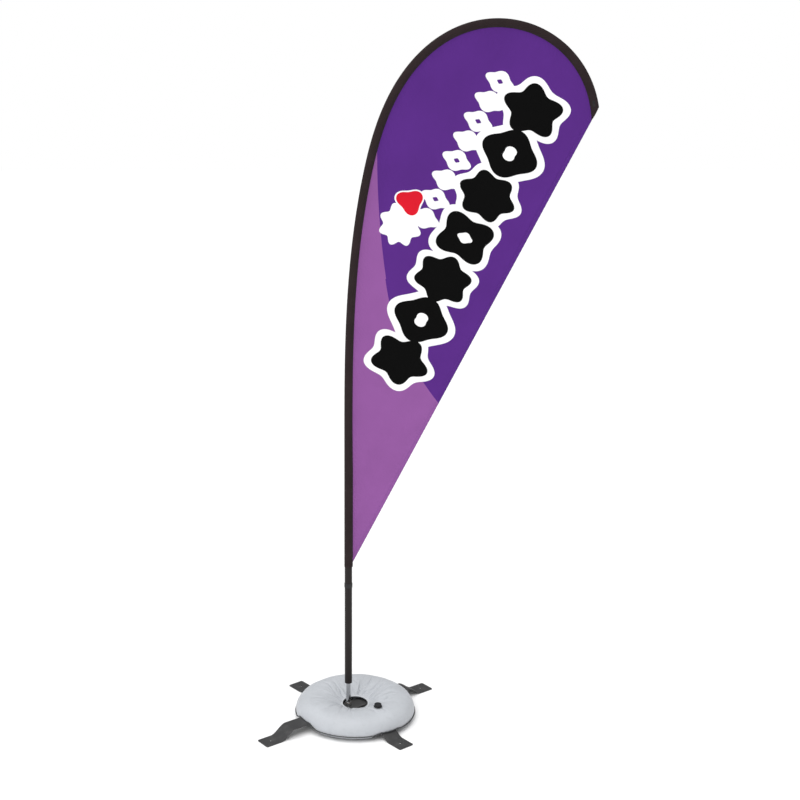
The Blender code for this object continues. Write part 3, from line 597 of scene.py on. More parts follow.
# how far the cloth stands off its flat plane: a slow billow, folds along the pull, and puckers at the seams
def clothDepth(places, fromSleeve, fromEdge, alongSleeve):
    reach = np.clip(fromSleeve * fromEdge / clothShape["freeFrom"], 0, 1)
    slow = reach * clothShape["billow"] * (0.6 + smoothNoise(places[..., 0] * 1.6, places[..., 1] * 1.1, 4.0))
    alongPull, acrossPull = places @ edgeWay, places @ edgeInside
    folds = smoothNoise(acrossPull * clothShape["foldsAcross"] + 0.3 * alongPull,
                        alongPull * clothShape["foldsAlong"], 9.0) * np.clip(reach * 3, 0, 1)
    flattened = np.clip(fromSleeve / clothShape["flatAtSeam"], 0, 1) ** 2
    atSleeve = np.exp(-fromSleeve / clothShape["puckerReach"]) * flattened
    atEdge = np.exp(-fromEdge / clothShape["puckerReach"])
    turn, wander = 2 * math.pi / clothShape["puckerSpacing"], clothShape["puckerWander"]
    sleeveWave = np.sin(alongSleeve * turn + wander * smoothNoise(alongSleeve * 6, alongSleeve * 0, 1.0))
    edgeWave = np.sin(alongPull * turn + wander * smoothNoise(alongPull * 5, alongPull * 0, 2.0))
    return (slow + clothShape["folds"] * folds + clothShape["sleevePucker"] * atSleeve * sleeveWave
            + clothShape["hemPucker"] * atEdge * edgeWave)


def panelPlaces():
    highSeam = flagCut["seams"][1][-1]
    share = np.linspace(0, 1, clothShape["rows"])
    first = flagCut["lowTip"] - poleBottom
    distances = first + share * (railEnd(highSeam) - first)
    sleeveSide = besidePole(distances, seamBeside(distances))
    edgeSide = edgeStart + np.outer(share * freeEdgeLength(highSeam), edgeWay)
    width = 0.5 - 0.5 * np.cos(np.linspace(0, math.pi, clothShape["columns"]))
    places = sleeveSide[:, None] + (edgeSide - sleeveSide)[:, None] * width[None, :, None]
    return places, np.broadcast_to(distances[:, None], places.shape[:2])


# lengths on the flat cut, along and across the free edge
def cutCoordinates(places):
    return np.stack([(places - edgeStart) @ edgeWay, (places - edgeStart) @ edgeInside], -1)


def makePanel():
    places, distances = panelPlaces()
    sleeveSide, edgeSide = places[:, :1], places[:, -1:]
    fromSleeve = np.linalg.norm(places - sleeveSide, axis=-1)
    fromEdge = np.linalg.norm(places - edgeSide, axis=-1)
    depth = clothDepth(places, fromSleeve, fromEdge, distances)
    flat = cutCoordinates(places)
    panel = gridObject("flag_panel_printed", frontView(places, depth), flat, printedCloth())
    thicken(panel, flagCut["panelThickness"])
    length, width = (float(size) for size in np.ptp(flat.reshape(-1, 2), axis=0))
    area = sum(face.area for face in panel.data.polygons)
    standFor(panel, "flag_panel")
    print("panel cut", round(width, 3), "by", round(length, 3), "area", round(area, 3))
    return panel, (width, length), area


sleeveShape = {
    "stations": 560,
    "turns": 36,
    "poleRadii": ([0, 0.93, 1.86, 2.73, 3.0], [0.0160, 0.0154, 0.0132, 0.0116, 0.0080]),  # along the pole
    "ease": 0.0013,  # between the pole and the sleeve
    "bends": ([0, 1.1, 2.2, 2.9], [0.25, 0.4, 0.8, 1.0]),  # along the pole, how creased it is there
    "creases": 0.055,
    "topReach": 0.06,
    "wall": 0.0007,
}


# offsets inwards and outwards of the sleeve's wall, from the lap in front round the pole to the back
def sleeveSection(turns, flatness, seam):
    radius, lap, half = flagCut["sleeveRadius"], flagCut["lap"], flagCut["lapHalf"]
    start = math.asin(half / (radius * flatness))
    angles = np.linspace(start, 2 * math.pi - start, turns)
    inside = np.cos(angles) * np.where(np.cos(angles) > 0, seam, radius)
    out = -radius * flatness * np.sin(angles)
    lapInside = np.array([seam + lap, seam + lap * 0.97, seam + lap * 0.5])
    inside = np.concatenate([[seam + lap], lapInside, inside, lapInside[::-1], [seam + lap]])
    out = np.concatenate([[0], [-half * 0.7, -half, -half], out, [half, half, half * 0.7], [0]])
    return inside, out


def makeSleeve():
    turns = sleeveShape["turns"]
    radius = flagCut["sleeveRadius"]
    start = flagCut["sleeveBottom"] - poleBottom
    length = railEnd(0.0) - start
    poleRadii = np.interp(along, *sleeveShape["poleRadii"])
    inside, _ = sleeveSection(turns, 1.0, flagCut["seams"][1][-1])
    ends = [railEnd(offset) for offset in inside]
    around = np.linspace(0, 2 * math.pi * radius, len(inside))
    girth = 0.0
    rows, flat = [], []
    for part in np.linspace(0, 1, sleeveShape["stations"]):
        middle = start + part * length
        flatness = (np.interp(middle, along, poleRadii) + sleeveShape["ease"]) / radius
        seam = seamBeside(middle)
        inside, out = sleeveSection(turns, flatness, seam)
        girth = max(girth, np.hypot(np.diff(inside), np.diff(out)).sum())
        distances = np.array([start + part * (end - start) for end in ends])
        creases = smoothNoise(distances * 34, inside * 60, 3.0)
        creases = creases + 0.6 * smoothNoise(distances * 90, inside * 90, 6.0)
        bend = np.interp(middle, *sleeveShape["bends"])
        slack = np.clip(inside / radius + 0.6, 0, 1.4)
        ease = 1 + sleeveShape["creases"] * bend * slack * creases
        places = np.array([besidePole(distance, offset * (stretch if offset < seam else 1))
                           for distance, offset, stretch in zip(distances, inside, ease)])
        rows.append(frontView(places, out * ease))
        flat.append(np.stack([distances, around], -1))
    sleeve = gridObject("flag_sleeve", np.array(rows), np.array(flat), finishes["sleeve"], sharp=50)
    with opened(sleeve.data) as shape:
        rim = [edge for edge in shape.edges if edge.is_boundary]
        top = max(rim, key=lambda edge: edge.verts[0].co.x).verts[0].co
        upper = [edge for edge in rim if (edge.verts[0].co - top).length < sleeveShape["topReach"]]
        bmesh.ops.contextual_create(shape, geom=upper)  # closes the sleeve's upper end
        bmesh.ops.recalc_face_normals(shape, faces=shape.faces)
    sleeve.data.set_sharp_from_angle(angle=math.radians(50))
    thicken(sleeve, sleeveShape["wall"], offset=-1)
    standFor(sleeve, "pole_pocket")


hemShape = {
    "halfThickness": 0.0009,
    "seams": (0.22, 0.78),  # shares of its width
    "pinch": 0.25,
    "pinchSpacing": 0.011,
    "seamGap": 0.004,  # from the hem's ends to the seams' ends
    "seamLift": 0.00125,
    "seamPoints": 2600,
}


# where a line this far inside the free edge starts and ends, between the sleeve's two stretches
def hemRail(fromEdge):
    low = fromEdge / math.tan(math.pi / 2 - flagCut["freeEdge"])
    line = centreLine + inward * flagCut["seams"][1][-1]
    late = along > poleLine["slowBendEnd"]
    gap = (line - edgeStart) @ edgeInside - fromEdge
    last = np.argmax(late & (gap < 0))
    return low, (line[last] - edgeStart) @ edgeWay


# places on a line beside the free edge, and how far the cloth stands off its flat plane there
def hemLine(runs, high, beside):
    places = edgeStart + np.outer(runs, edgeWay) + edgeInside * beside
    fromSleeve = np.minimum(runs, high - runs) + 0.01
    return places, clothDepth(places, fromSleeve, np.full(len(runs), max(beside, 0)), runs)


def makeHem():
    width, half = flagCut["hem"], hemShape["halfThickness"]
    firstSeam, lastSeam = hemShape["seams"]
    front = [(inside, 1.0) for inside in (0.0, 0.02, firstSeam, 0.5, lastSeam, 0.97)]
    back = [(inside, -1.0) for inside, side in reversed(front)]
    rails = [*front, (1.0, 0.5), (1.0, -0.5), *back, (-0.03, 0.0), front[0]]
    share = np.linspace(0, 1, clothShape["hemRows"])
    columns, flat = [], []
    for i, (inside, side) in enumerate(rails):
        low, high = hemRail(max(inside, 0) * width)
        runs = low + share * (high - low)
        places, depth = hemLine(runs, high, inside * width)
        sewn = firstSeam <= inside <= lastSeam
        wave = np.sin(runs * 2 * math.pi / hemShape["pinchSpacing"] + i)
        pinch = 1 + hemShape["pinch"] * wave * sewn
        columns.append(frontView(places, depth - side * half * pinch))
        flat.append(np.stack([runs, np.full(len(share), i * width / 4)], -1))
    # the hem is the panel's own cloth folded over, so it keeps the two purples
    printed = bpy.data.materials["printed_polyester"]
    hem = gridObject("free_edge_hem_folded", np.stack(columns, 1), np.stack(flat, 1), printed, sharp=60)
    closeHoles(hem, 20)
    return standFor(hem, "free_edge_hem")


panel, cutSize, cutArea = makePanel()
hem = makeHem()
print("panel and hem made")
makeSleeve()
print("sleeve made")


# one tree makes every row of stitches
def stitchTree():
    tree = bpy.data.node_groups.new("stitch_row", "GeometryNodeTree")
    tree.interface.new_socket("Geometry", in_out="INPUT", socket_type="NodeSocketGeometry")
    for name in ("Spacing", "Length", "Thickness"):
        tree.interface.new_socket(name, in_out="INPUT", socket_type="NodeSocketFloat")
    tree.interface.new_socket("Thread", in_out="INPUT", socket_type="NodeSocketMaterial")
    tree.interface.new_socket("Geometry", in_out="OUTPUT", socket_type="NodeSocketGeometry")
    given = tree.nodes.new("NodeGroupInput").outputs

    def step(kind, settings=None, **sockets):
        return addNode(tree, kind, settings, **sockets).outputs[0]

    line = step("GeometryNodeMeshToCurve", Mesh=given["Geometry"])
    spaced = step("GeometryNodeResampleCurve", {"mode": "LENGTH"}, Curve=line, Length=given["Spacing"])
    bead = step("GeometryNodeMeshUVSphere", Segments=6, Rings=4, Radius=0.5)
    size = step("ShaderNodeCombineXYZ", X=given["Length"], Y=given["Thickness"], Z=given["Thickness"])
    turn = step("FunctionNodeAlignRotationToVector", {"axis": "X"}, Vector=step("GeometryNodeInputTangent"))
    placed = step("GeometryNodeInstanceOnPoints", Points=spaced, Instance=bead, Rotation=turn, Scale=size)
    made = step("GeometryNodeRealizeInstances", Geometry=placed)
    smooth = step("GeometryNodeSetShadeSmooth", Geometry=made)
    covered = step("GeometryNodeSetMaterial", Geometry=smooth, Material=given["Thread"])
    tree.links.new(covered, tree.nodes.new("NodeGroupOutput").inputs["Geometry"])
    return tree


stitches = stitchTree()


# rows of points become rows of stitches, turned into one plain mesh
def makeStitches(name, rows, body, thread, slot, spacing=0.004, length=0.0031, thickness=0.0006):
    points = [tuple(point) for row in rows for point in row]
    firsts = np.cumsum([0] + [len(row) for row in rows])
    edges = [(i, i + 1) for i in range(len(points) - 1) if i + 1 not in firsts]
    mesh = bpy.data.meshes.new(name)
    mesh.from_pydata(points, edges, [])
    guide = newObject(name, mesh)
    modifier = guide.modifiers.new("stitches", "NODES")
    modifier.node_group = stitches
    sockets = {item.name: item.identifier for item in stitches.interface.items_tree if item.in_out == "INPUT"}
    inputs = {"Spacing": spacing, "Length": length, "Thickness": thickness, "Thread": thread}
    for key, value in inputs.items():
        modifier[sockets[key]] = value
    applyModifiers(guide)
    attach(guide, body)
    return guide


sleeveSeam = {
    "lift": 0.0012,
    "lapShare": 0.6,  # how far into the lap
    "ends": (0.004, 0.003),
    "points": 900,
    "cuffUp": 0.009,  # a row round the lower end
    "cuffLift": 0.0006,
    "cuffPoints": 90,
    "cuffGap": 0.1,  # radians on each side of the panel
}


def makeFlagStitches():
    first = flagCut["lowTip"] - poleBottom + sleeveSeam["ends"][0]
    last = railEnd(flagCut["seams"][1][-1]) - sleeveSeam["ends"][1]
    distances = np.linspace(first, last, sleeveSeam["points"])
    line = besidePole(distances, seamBeside(distances) + flagCut["lap"] * sleeveSeam["lapShare"])
    rows = [frontView(line, side * sleeveSeam["lift"]) for side in (-1, 1)]
    turns = np.linspace(sleeveSeam["cuffGap"], 2 * math.pi - sleeveSeam["cuffGap"], sleeveSeam["cuffPoints"])
    around = flagCut["sleeveRadius"] + sleeveSeam["cuffLift"]
    height = turns * 0 + flagCut["sleeveBottom"] + sleeveSeam["cuffUp"]
    rows.append(np.stack([poleX + around * np.cos(turns), around * np.sin(turns), height], 1))
    makeStitches("sleeve_stitching", rows, "pole_and_flag", finishes["thread"], "pocket_fabric")
    rows = []
    for seam in hemShape["seams"]:
        fromEdge = flagCut["hem"] * seam
        low, high = hemRail(fromEdge)
        runs = np.linspace(low + hemShape["seamGap"], high - hemShape["seamGap"], hemShape["seamPoints"])
        places, depth = hemLine(runs, high, fromEdge)
        rows += [frontView(places, depth + side * hemShape["seamLift"]) for side in (-1, 1)]
    makeStitches("hem_stitching", rows, "pole_and_flag", finishes["purpleThread"], "hem_fabric")


makeFlagStitches()
print("flag stitched")


# strap that pulls the flag down
strapShape = {
    "top": 0.7195,
    "bottom": 0.6070,
    "halfWidth": 0.0089,
    "halfThickness": 0.0007,
    "behind": 0.0184,  # from the pole's axis
    "slack": 0.0008,
    "ripple": 0.0002,
    "sewnFrom": 0.6930,
    "sewnTo": 0.7165,
    "boxShare": 0.72,  # the sewn box's width in the strap's
    "stitchLift": 0.0009,
}


def makeStrap():
    top, bottom, halfWidth = strapShape["top"], strapShape["bottom"], strapShape["halfWidth"]
    heights = np.linspace(bottom, top, 120)
    sag = np.clip((strapShape["sewnFrom"] - heights) / (strapShape["sewnFrom"] - bottom), 0, 1)
    behind = strapShape["behind"] - strapShape["slack"] * np.sin(math.pi * sag) ** 2
    behind += strapShape["ripple"] * np.sin(heights * 700) * (sag > 0)
    across = halfWidth * np.array([-1, -0.96, -0.75, -0.4, 0, 0.4, 0.75, 0.96, 1])
    crown = np.array([-0.0004, -0.0001, 0, 0, 0.0001, 0, 0, -0.0001, -0.0004])
    x, y, z = np.broadcast_arrays(across[None, :], behind[:, None] + crown[None, :], heights[:, None])
    strap = gridObject("tension_strap_webbing", np.stack([poleX + x, y, z], -1), np.stack([x, z], -1),
                       finishes["strap"], 60)
    thicken(strap, 2 * strapShape["halfThickness"])
    standFor(strap, "tension_strap")
    low, high, side = strapShape["sewnFrom"], strapShape["sewnTo"], halfWidth * strapShape["boxShare"]
    corners = [(-side, low), (side, low), (side, high), (-side, high), (-side, low), (side, high)]
    rows = []
    for start, end in [*zip(corners, corners[1:]), ((side, low), (-side, high))]:
        share = np.linspace(0, 1, 24)[:, None]
        line = np.array(start) * (1 - share) + np.array(end) * share
        depth = line[:, 0] * 0 + strapShape["behind"] + strapShape["stitchLift"]
        rows.append(np.stack([poleX + line[:, 0], depth, line[:, 1]], 1))
    makeStitches("strap_box_stitching", rows, "pole_and_flag", finishes["strapThread"], "webbing",
                 spacing=0.0026, length=0.0021, thickness=0.0005)


# a profile of (radius, height) turned round an upright axis
def turnedObject(name, profile, centre, material, sides=72, closed=False):
    if closed:
        profile = [*profile, profile[0]]
    angles = np.linspace(0, 2 * math.pi, sides + 1)
    radii, heights = np.array(profile).T
    x = centre[0] + np.outer(np.cos(angles), radii)
    y = centre[1] + np.outer(np.sin(angles), radii)
    points = np.stack([x, y, np.broadcast_to(heights, x.shape)], -1)
    return gridObject(name, points, None, material, 35)


# a closed profile with its corners rounded by small arcs
def rounded(profile, radius, steps=4):
    made = []
    for i, corner in enumerate(profile):
        before, here, after = (np.array(p) for p in (profile[i - 1], corner, profile[(i + 1) % len(profile)]))
        cut = min(radius, np.linalg.norm(before - here) / 2.1, np.linalg.norm(after - here) / 2.1)
        start = here + (before - here) / np.linalg.norm(before - here) * cut
        end = here + (after - here) / np.linalg.norm(after - here) * cut
        for step in range(steps + 1):
            t = step / steps
            made.append(tuple(start * (1 - t) ** 2 + 2 * here * t * (1 - t) + end * t * t))
    return made


def tubeProfile(inner, outer, low, high, edge):
    return rounded([(inner, low), (outer, low), (outer, high), (inner, high)], edge)


# node: piece's name, bore, rounded edge, finish, slot
tubes = {
    "pole_section_1": ("lower_pole_tube", 0.0145, 0.0005, "pole", "pole_coating"),
    "spindle_tube": ("spindle_chromed", 0.0075, 0.0004, "chrome", "chrome"),
    "spindle_lower_bush": ("lower_bush", 0.0053, 0.0003, "bronze", "bronze"),
    "spindle_upper_bush": ("upper_bush", 0.0053, 0.0003, "bronze", "bronze"),
    "bearing_lower_race": ("lower_race", 0.0054, 0.0004, "steel", "bearing_steel"),
    "bearing_upper_race": ("upper_race", 0.0054, 0.0004, "steel", "bearing_steel"),
    "fold_washer": ("fold_washer_nylon", 0.0053, 0.0002, "nylon", "nylon"),
    "spring_washer": ("spring_washer_zinc", 0.0052, 0.0003, "zinc", "zinc"),
}


def makeTubes():
    for node, (name, bore, edge, finish, slot) in tubes.items():
        low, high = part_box(node)
        radius = (high.x - low.x) / 2
        middle = ((low.x + high.x) / 2, (low.y + high.y) / 2)
        if node == "spring_washer":  # its split makes its box lopsided
            radius, middle = high.x - poleX, (poleX, 0)
        profile = tubeProfile(bore, radius, low.z, high.z, edge)
        standFor(turnedObject(name, profile, middle, finishes[finish], closed=True), node)


def makeBalls():
    for i in range(1, 9):
        low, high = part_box(f"bearing_ball_{i}")
        middle, radius = (low + high) / 2, (high.z - low.z) / 2
        turns = np.linspace(-math.pi / 2, math.pi / 2, 17)
        profile = [(radius * math.cos(t), middle.z + radius * math.sin(t)) for t in turns]
        piece = turnedObject(f"ball_{i}", profile, (middle.x, middle.y), finishes["steel"], 24)
        standFor(piece, f"bearing_ball_{i}")


# a copy of a CAD node with welded faces and rounded edges stands for it
def finishCopy(node, name, material, edge):
    mesh = frame["nodes"][node].data.copy()
    mesh.name = name
    mesh.materials.clear()
    with opened(mesh) as shape:
        bmesh.ops.remove_doubles(shape, verts=shape.verts, dist=weldDistance)
        bmesh.ops.dissolve_limit(shape, angle_limit=math.radians(1), verts=shape.verts, edges=shape.edges)
    for attribute in [a.name for a in mesh.attributes if a.name in ("custom_normal", "sharp_face")]:
        mesh.attributes.remove(mesh.attributes[attribute])
    corner = math.radians(34)
    mesh.shade_smooth()
    mesh.set_sharp_from_angle(angle=corner)
    mesh.materials.append(material)
    piece = newObject(name, mesh)
    bevel = piece.modifiers.new("edges", "BEVEL")
    bevel.width = edge
    bevel.segments = 2
    bevel.limit_method = "ANGLE"
    bevel.angle_limit = corner
    return standFor(piece, node)


# node: piece's name, finish, slot, rounded edge
copies = {
    "pivot_bolt": ("pivot_bolt_zinc", "zinc", "zinc", 0.0004),
    "clamp_nut": ("clamp_nut_zinc", "zinc", "zinc", 0.0005),
    "retaining_clip": ("retaining_clip_zinc", "zinc", "zinc", 0.0001),
    "bearing_cage": ("ball_cage_bronze", "bronze", "bronze", 0.0001),
    "spindle_cap": ("spindle_cap_moulded", "plastic", "black_plastic", 0.0004),
    "pole_bottom_bush": ("pole_bottom_bush_moulded", "plastic", "black_plastic", 0.0003),
    "pole_stop_cup": ("pole_stop_cup_moulded", "plastic", "black_plastic", 0.0003),
    "pole_tip_cap": ("pole_tip_cap_rubber", "rubber", "rubber", 0.0005),
    "strap_anchor": ("strap_anchor_moulded", "plastic", "black_plastic", 0.0005),
    "filler_neck": ("filler_neck_moulded", "plastic", "black_plastic", 0.0003),
    "filler_gasket": ("filler_gasket_rubber", "rubber", "rubber", 0.0002),
}
hidden = {
    "pole_section_2": "pole",
    "pole_section_3": "pole",
    "pole_section_4": "pole",
    "stop_collar_1": "plastic",
    "stop_collar_2": "plastic",
    "stop_collar_3": "plastic",
}


def makeSmallParts():
    for node, (name, finish, slot, edge) in copies.items():
        finishCopy(node, name, finishes[finish], edge)
    for node, finish in hidden.items():
        data = frame["nodes"][node].data
        data.materials.clear()
        data.materials.append(finishes[finish])


makeTubes()
makeBalls()
makeSmallParts()
makeStrap()
print("pole, spindle, bearing and small parts finished")


# cross bars
bars = {
    "upper_cross_bar": {"name": "upper_leg_bar", "angle": math.radians(37), "reach": 0.453},
    "lower_cross_bar": {"name": "lower_leg_bar", "angle": math.radians(129), "reach": 0.388},
}
barShape = {
    "width": 0.075,
    "thickness": 0.004,
    "foot": 0.068,
    "ramp": 0.074,
    "edge": 0.0011,
    "corner": 0.006,
    "pegHole": 0.005,
    "pegInset": 0.042,
    "boltHole": 0.0053,
    "stations": 90,  # along half a bar
}


def barHeights(distance, reach, rise):
    t = np.clip((reach - barShape["foot"] - np.abs(distance)) / barShape["ramp"], 0, 1)
    return rise * t * t * (3 - 2 * t)


def holeCutter(radius, place):
    mesh = bpy.data.meshes.new("cutter")
    with opened(mesh) as shape:
        bmesh.ops.create_cone(shape, cap_ends=True, segments=40, radius1=radius, radius2=radius, depth=0.1)
        bmesh.ops.translate(shape, vec=place, verts=shape.verts)
    return newObject("cutter", mesh)


def makeBar(node, settings):
    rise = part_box(node)[1].z - barShape["thickness"]
    reach, half = settings["reach"], barShape["width"] / 2
    thick, corner = barShape["thickness"], barShape["corner"]
    ends = reach - corner * (1 - np.cos(np.linspace(0, math.pi / 2, 7)))
    positive = np.concatenate([np.linspace(0, reach - corner - 0.004, barShape["stations"]), ends[::-1]])
    distance = np.concatenate([-positive[:0:-1], positive])
    tuck = np.clip(np.abs(distance) - (reach - corner), 0, None)
    narrowed = half - corner + np.sqrt(np.clip(corner ** 2 - tuck ** 2, 0, None))
    bottom = barHeights(distance, reach, rise)
    slope = np.gradient(bottom, distance)
    outline = rounded([(-half, 0), (half, 0), (half, thick), (-half, thick)], barShape["edge"], 5)
    outline.append(outline[0])
    rows = []
    for d, w, b, s in zip(distance, narrowed, bottom, slope):
        lean = 1 / math.sqrt(1 + s * s)  # keeps the bar's thickness on its ramps
        rows.append([(d - s * lean * (h - thick / 2), a * w / half, b + thick / 2 + lean * (h - thick / 2))
                     for a, h in outline])
    points = np.array(rows)
    cosine, sine = math.cos(settings["angle"]), math.sin(settings["angle"])
    points[..., :2] = points[..., :2] @ np.array([[cosine, sine], [-sine, cosine]]) + [poleX, 0]
    bar = gridObject(settings["name"], points, None, finishes["bar"], 40)
    closeHoles(bar)
    cutters = [holeCutter(barShape["boltHole"], (poleX, 0, rise))]
    for sign in (-1, 1):
        inset = sign * (reach - barShape["pegInset"])
        cutters.append(holeCutter(barShape["pegHole"], (poleX + inset * cosine, inset * sine, 0)))
    for cutter in cutters:
        cut = bar.modifiers.new("hole", "BOOLEAN")
        cut.operation = "DIFFERENCE"
        cut.object = cutter
    applyModifiers(bar)
    for cutter in cutters:
        bpy.data.objects.remove(cutter)
    bar.data.set_sharp_from_angle(angle=math.radians(40))
    standFor(bar, node)


for barNode, barSettings in bars.items():
    makeBar(barNode, barSettings)
print("cross bars made")


# water bag
bagShape = {
    "centre": poleX + 0.030,
    "radius": 0.2593,
    "middleRadius": 0.157,
    "around": 420,
    "section": 96,
    "barClear": 0.0014,
    "besideBar": 0.003,
    "floorClear": 0.0008,
    "barReach": 0.050,  # how far beside a bar the bag takes to come down to the floor
    "give": 0.009,  # how high above a bar the bag's wall is pressed in
    "rimTilt": 0.004,
    "valleys": 0.0088,
    "swells": 0.0016,
    "rimPuckers": 0.0005,
    "rimPuckerCount": 62,
    "foldTurns": 4.6,  # how many folds run round the ring
    "creaseTurns": 11,
    "wander": 0.25,
    "keep": 0.56,  # of its thickness as the base folds
    "squashTo": 0.1,
    "fill": 0.85,
}
# the ring cut through: distance from its centre and height, from the hole's rim over the top and back
bagSection = [
    (0.0547, 0.0490), (0.0600, 0.0545), (0.0800, 0.0690), (0.1150, 0.0860), (0.1600, 0.0960),
    (0.2020, 0.0935), (0.2320, 0.0810), (0.2510, 0.0610), (0.2590, 0.0400), (0.2570, 0.0200),
    (0.2440, 0.0060), (0.2150, 0.0016), (0.1600, 0.0014), (0.1150, 0.0060), (0.0780, 0.0260),
    (0.0600, 0.0440),
]


# a closed smooth curve through the points, evenly spaced along its length
def smoothLoop(points, count):
    points = np.array(points)
    fine = []
    for i in range(len(points)):
        a, b, c, d = (points[(i + k) % len(points)] for k in (-1, 0, 1, 2))
        bend, twist = 2 * a - 5 * b + 4 * c - d, 3 * b - a - 3 * c + d
        for t in np.linspace(0, 1, 24, endpoint=False):
            fine.append(0.5 * (2 * b + (c - a) * t + bend * t * t + twist * t ** 3))
    fine = np.array(fine + [fine[0]])
    lengths = np.concatenate([[0], np.cumsum(np.linalg.norm(np.diff(fine, axis=0), axis=1))])
    wanted = np.linspace(0, lengths[-1], count + 1)
    return np.stack([np.interp(wanted, lengths, column) for column in fine.T], -1), wanted


# how high the cross bars hold the bag up at these places
def barUnder(x, y):
    held = np.zeros(np.shape(x))
    for node, settings in bars.items():
        sine, cosine = math.sin(settings["angle"]), math.cos(settings["angle"])
        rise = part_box(node)[1].z - barShape["thickness"]
        under = barHeights((x - poleX) * cosine + y * sine, settings["reach"], rise)
        top = under + barShape["thickness"] + bagShape["barClear"]
        aside = np.abs(y * cosine - (x - poleX) * sine) - barShape["width"] / 2 - bagShape["besideBar"]
        t = np.clip(1 - aside / bagShape["barReach"], 0, 1)
        held = np.maximum(held, top * t * t * (3 - 2 * t))
    return held


def bagPlaces():
    section, sectionLength = smoothLoop(bagSection, bagShape["section"])
    turns = np.linspace(0, 2 * math.pi, bagShape["around"] + 1)
    turns[-1] = 0
    radius, height = section[:, 0], section[:, 1]
    holeRadius = bagSection[0][0]
    circle = np.stack([np.cos(turns), np.sin(turns)], 1)
    x = bagShape["centre"] + np.outer(circle[:, 0], radius)
    y = np.outer(circle[:, 1], radius)
    tilt = bagShape["rimTilt"] * circle[:, 1:2] * np.clip(1 - (radius - holeRadius) / 0.05, 0, 1)
    give = bagShape["give"]
    z = height + give * np.log1p(np.exp((barUnder(x, y) - height) / give)) + tilt
    points = np.stack([x, y, z], -1)
    normals = np.cross(np.gradient(points, axis=1), np.gradient(points, axis=0))
    joint = points[[-2, 0, 1]]
    normals[0] = normals[-1] = np.cross(np.gradient(joint, axis=1), np.gradient(joint, axis=0))[1]
    normals /= np.maximum(np.linalg.norm(normals, axis=-1, keepdims=True), 1e-9)
    if (normals[:, bagShape["section"] // 4, 2]).mean() < 0:
        normals = -normals
    c, s, r, h = np.broadcast_arrays(circle[:, :1], circle[:, 1:], radius, height)
    fromHole = np.clip((r - holeRadius) / (bagShape["radius"] - holeRadius), 0, 1)
    upper = np.clip((h - 0.035) / 0.03, 0, 1)
    # radial folds that wander a little, with finer creases between them
    wander = bagShape["wander"] * smoothNoise(c * 2.2, s * 2.2, r * 9)
    tc, ts = c * np.cos(wander) - s * np.sin(wander), s * np.cos(wander) + c * np.sin(wander)
    folds = smoothNoise(tc * bagShape["foldTurns"], ts * bagShape["foldTurns"], r * 4.0)
    fine = smoothNoise(tc * bagShape["creaseTurns"], ts * bagShape["creaseTurns"], r * 7.0 + 5)
    swell = smoothNoise(x * 15, y * 15, 8.0)
    fade = np.exp(-((fromHole - 0.2) / 0.36) ** 2) * upper * np.clip(fromHole / 0.07, 0.08, 1)
    valley = -np.clip(1 - np.abs(folds) * 7, 0, 1) ** 1.6 - 0.5 * np.clip(1 - np.abs(fine) * 6, 0, 1) ** 1.5
    rim = np.sin(np.arctan2(s, c) * bagShape["rimPuckerCount"] + 9 * folds)
    rim = rim * np.exp(-((h - 0.03) / 0.016) ** 2) * (fromHole > 0.8)
    move = bagShape["valleys"] * fade * valley
    move = move + bagShape["swells"] * swell * upper * (0.3 + fromHole) + bagShape["rimPuckers"] * rim
    points = points + normals * move[..., None]
    lowest = np.maximum(barUnder(points[..., 0], points[..., 1]), bagShape["floorClear"])
    points[..., 2] = np.maximum(points[..., 2], lowest)
    points[-1] = points[0]
    around = np.linspace(0, 2 * math.pi * bagShape["middleRadius"], bagShape["around"] + 1)
    flat = np.stack(np.broadcast_arrays(around[:, None], sectionLength[None, :]), -1)
    return points, normals, flat, section


vinylLook = {
    "cloudScale": 9.0,
    "scuffScale": 60.0,
    # painted shade and soil: the vinyl is darker and rougher in patches low down, fading out at this height
    # above the floor
    "shadeAndSoilColour": (0.22, 0.21, 0.20, 1),
    "shadeAndSoilHeight": 0.035,  # up from the floor
    "mostShadeAndSoil": 0.45,
    "shadeAndSoilPatchScale": 35.0,
    "scrimPitch": 0.0026,
    "scrimShare": 0.12,
    "creaseScale": 110.0,
    "creaseDepth": 0.0007,
}


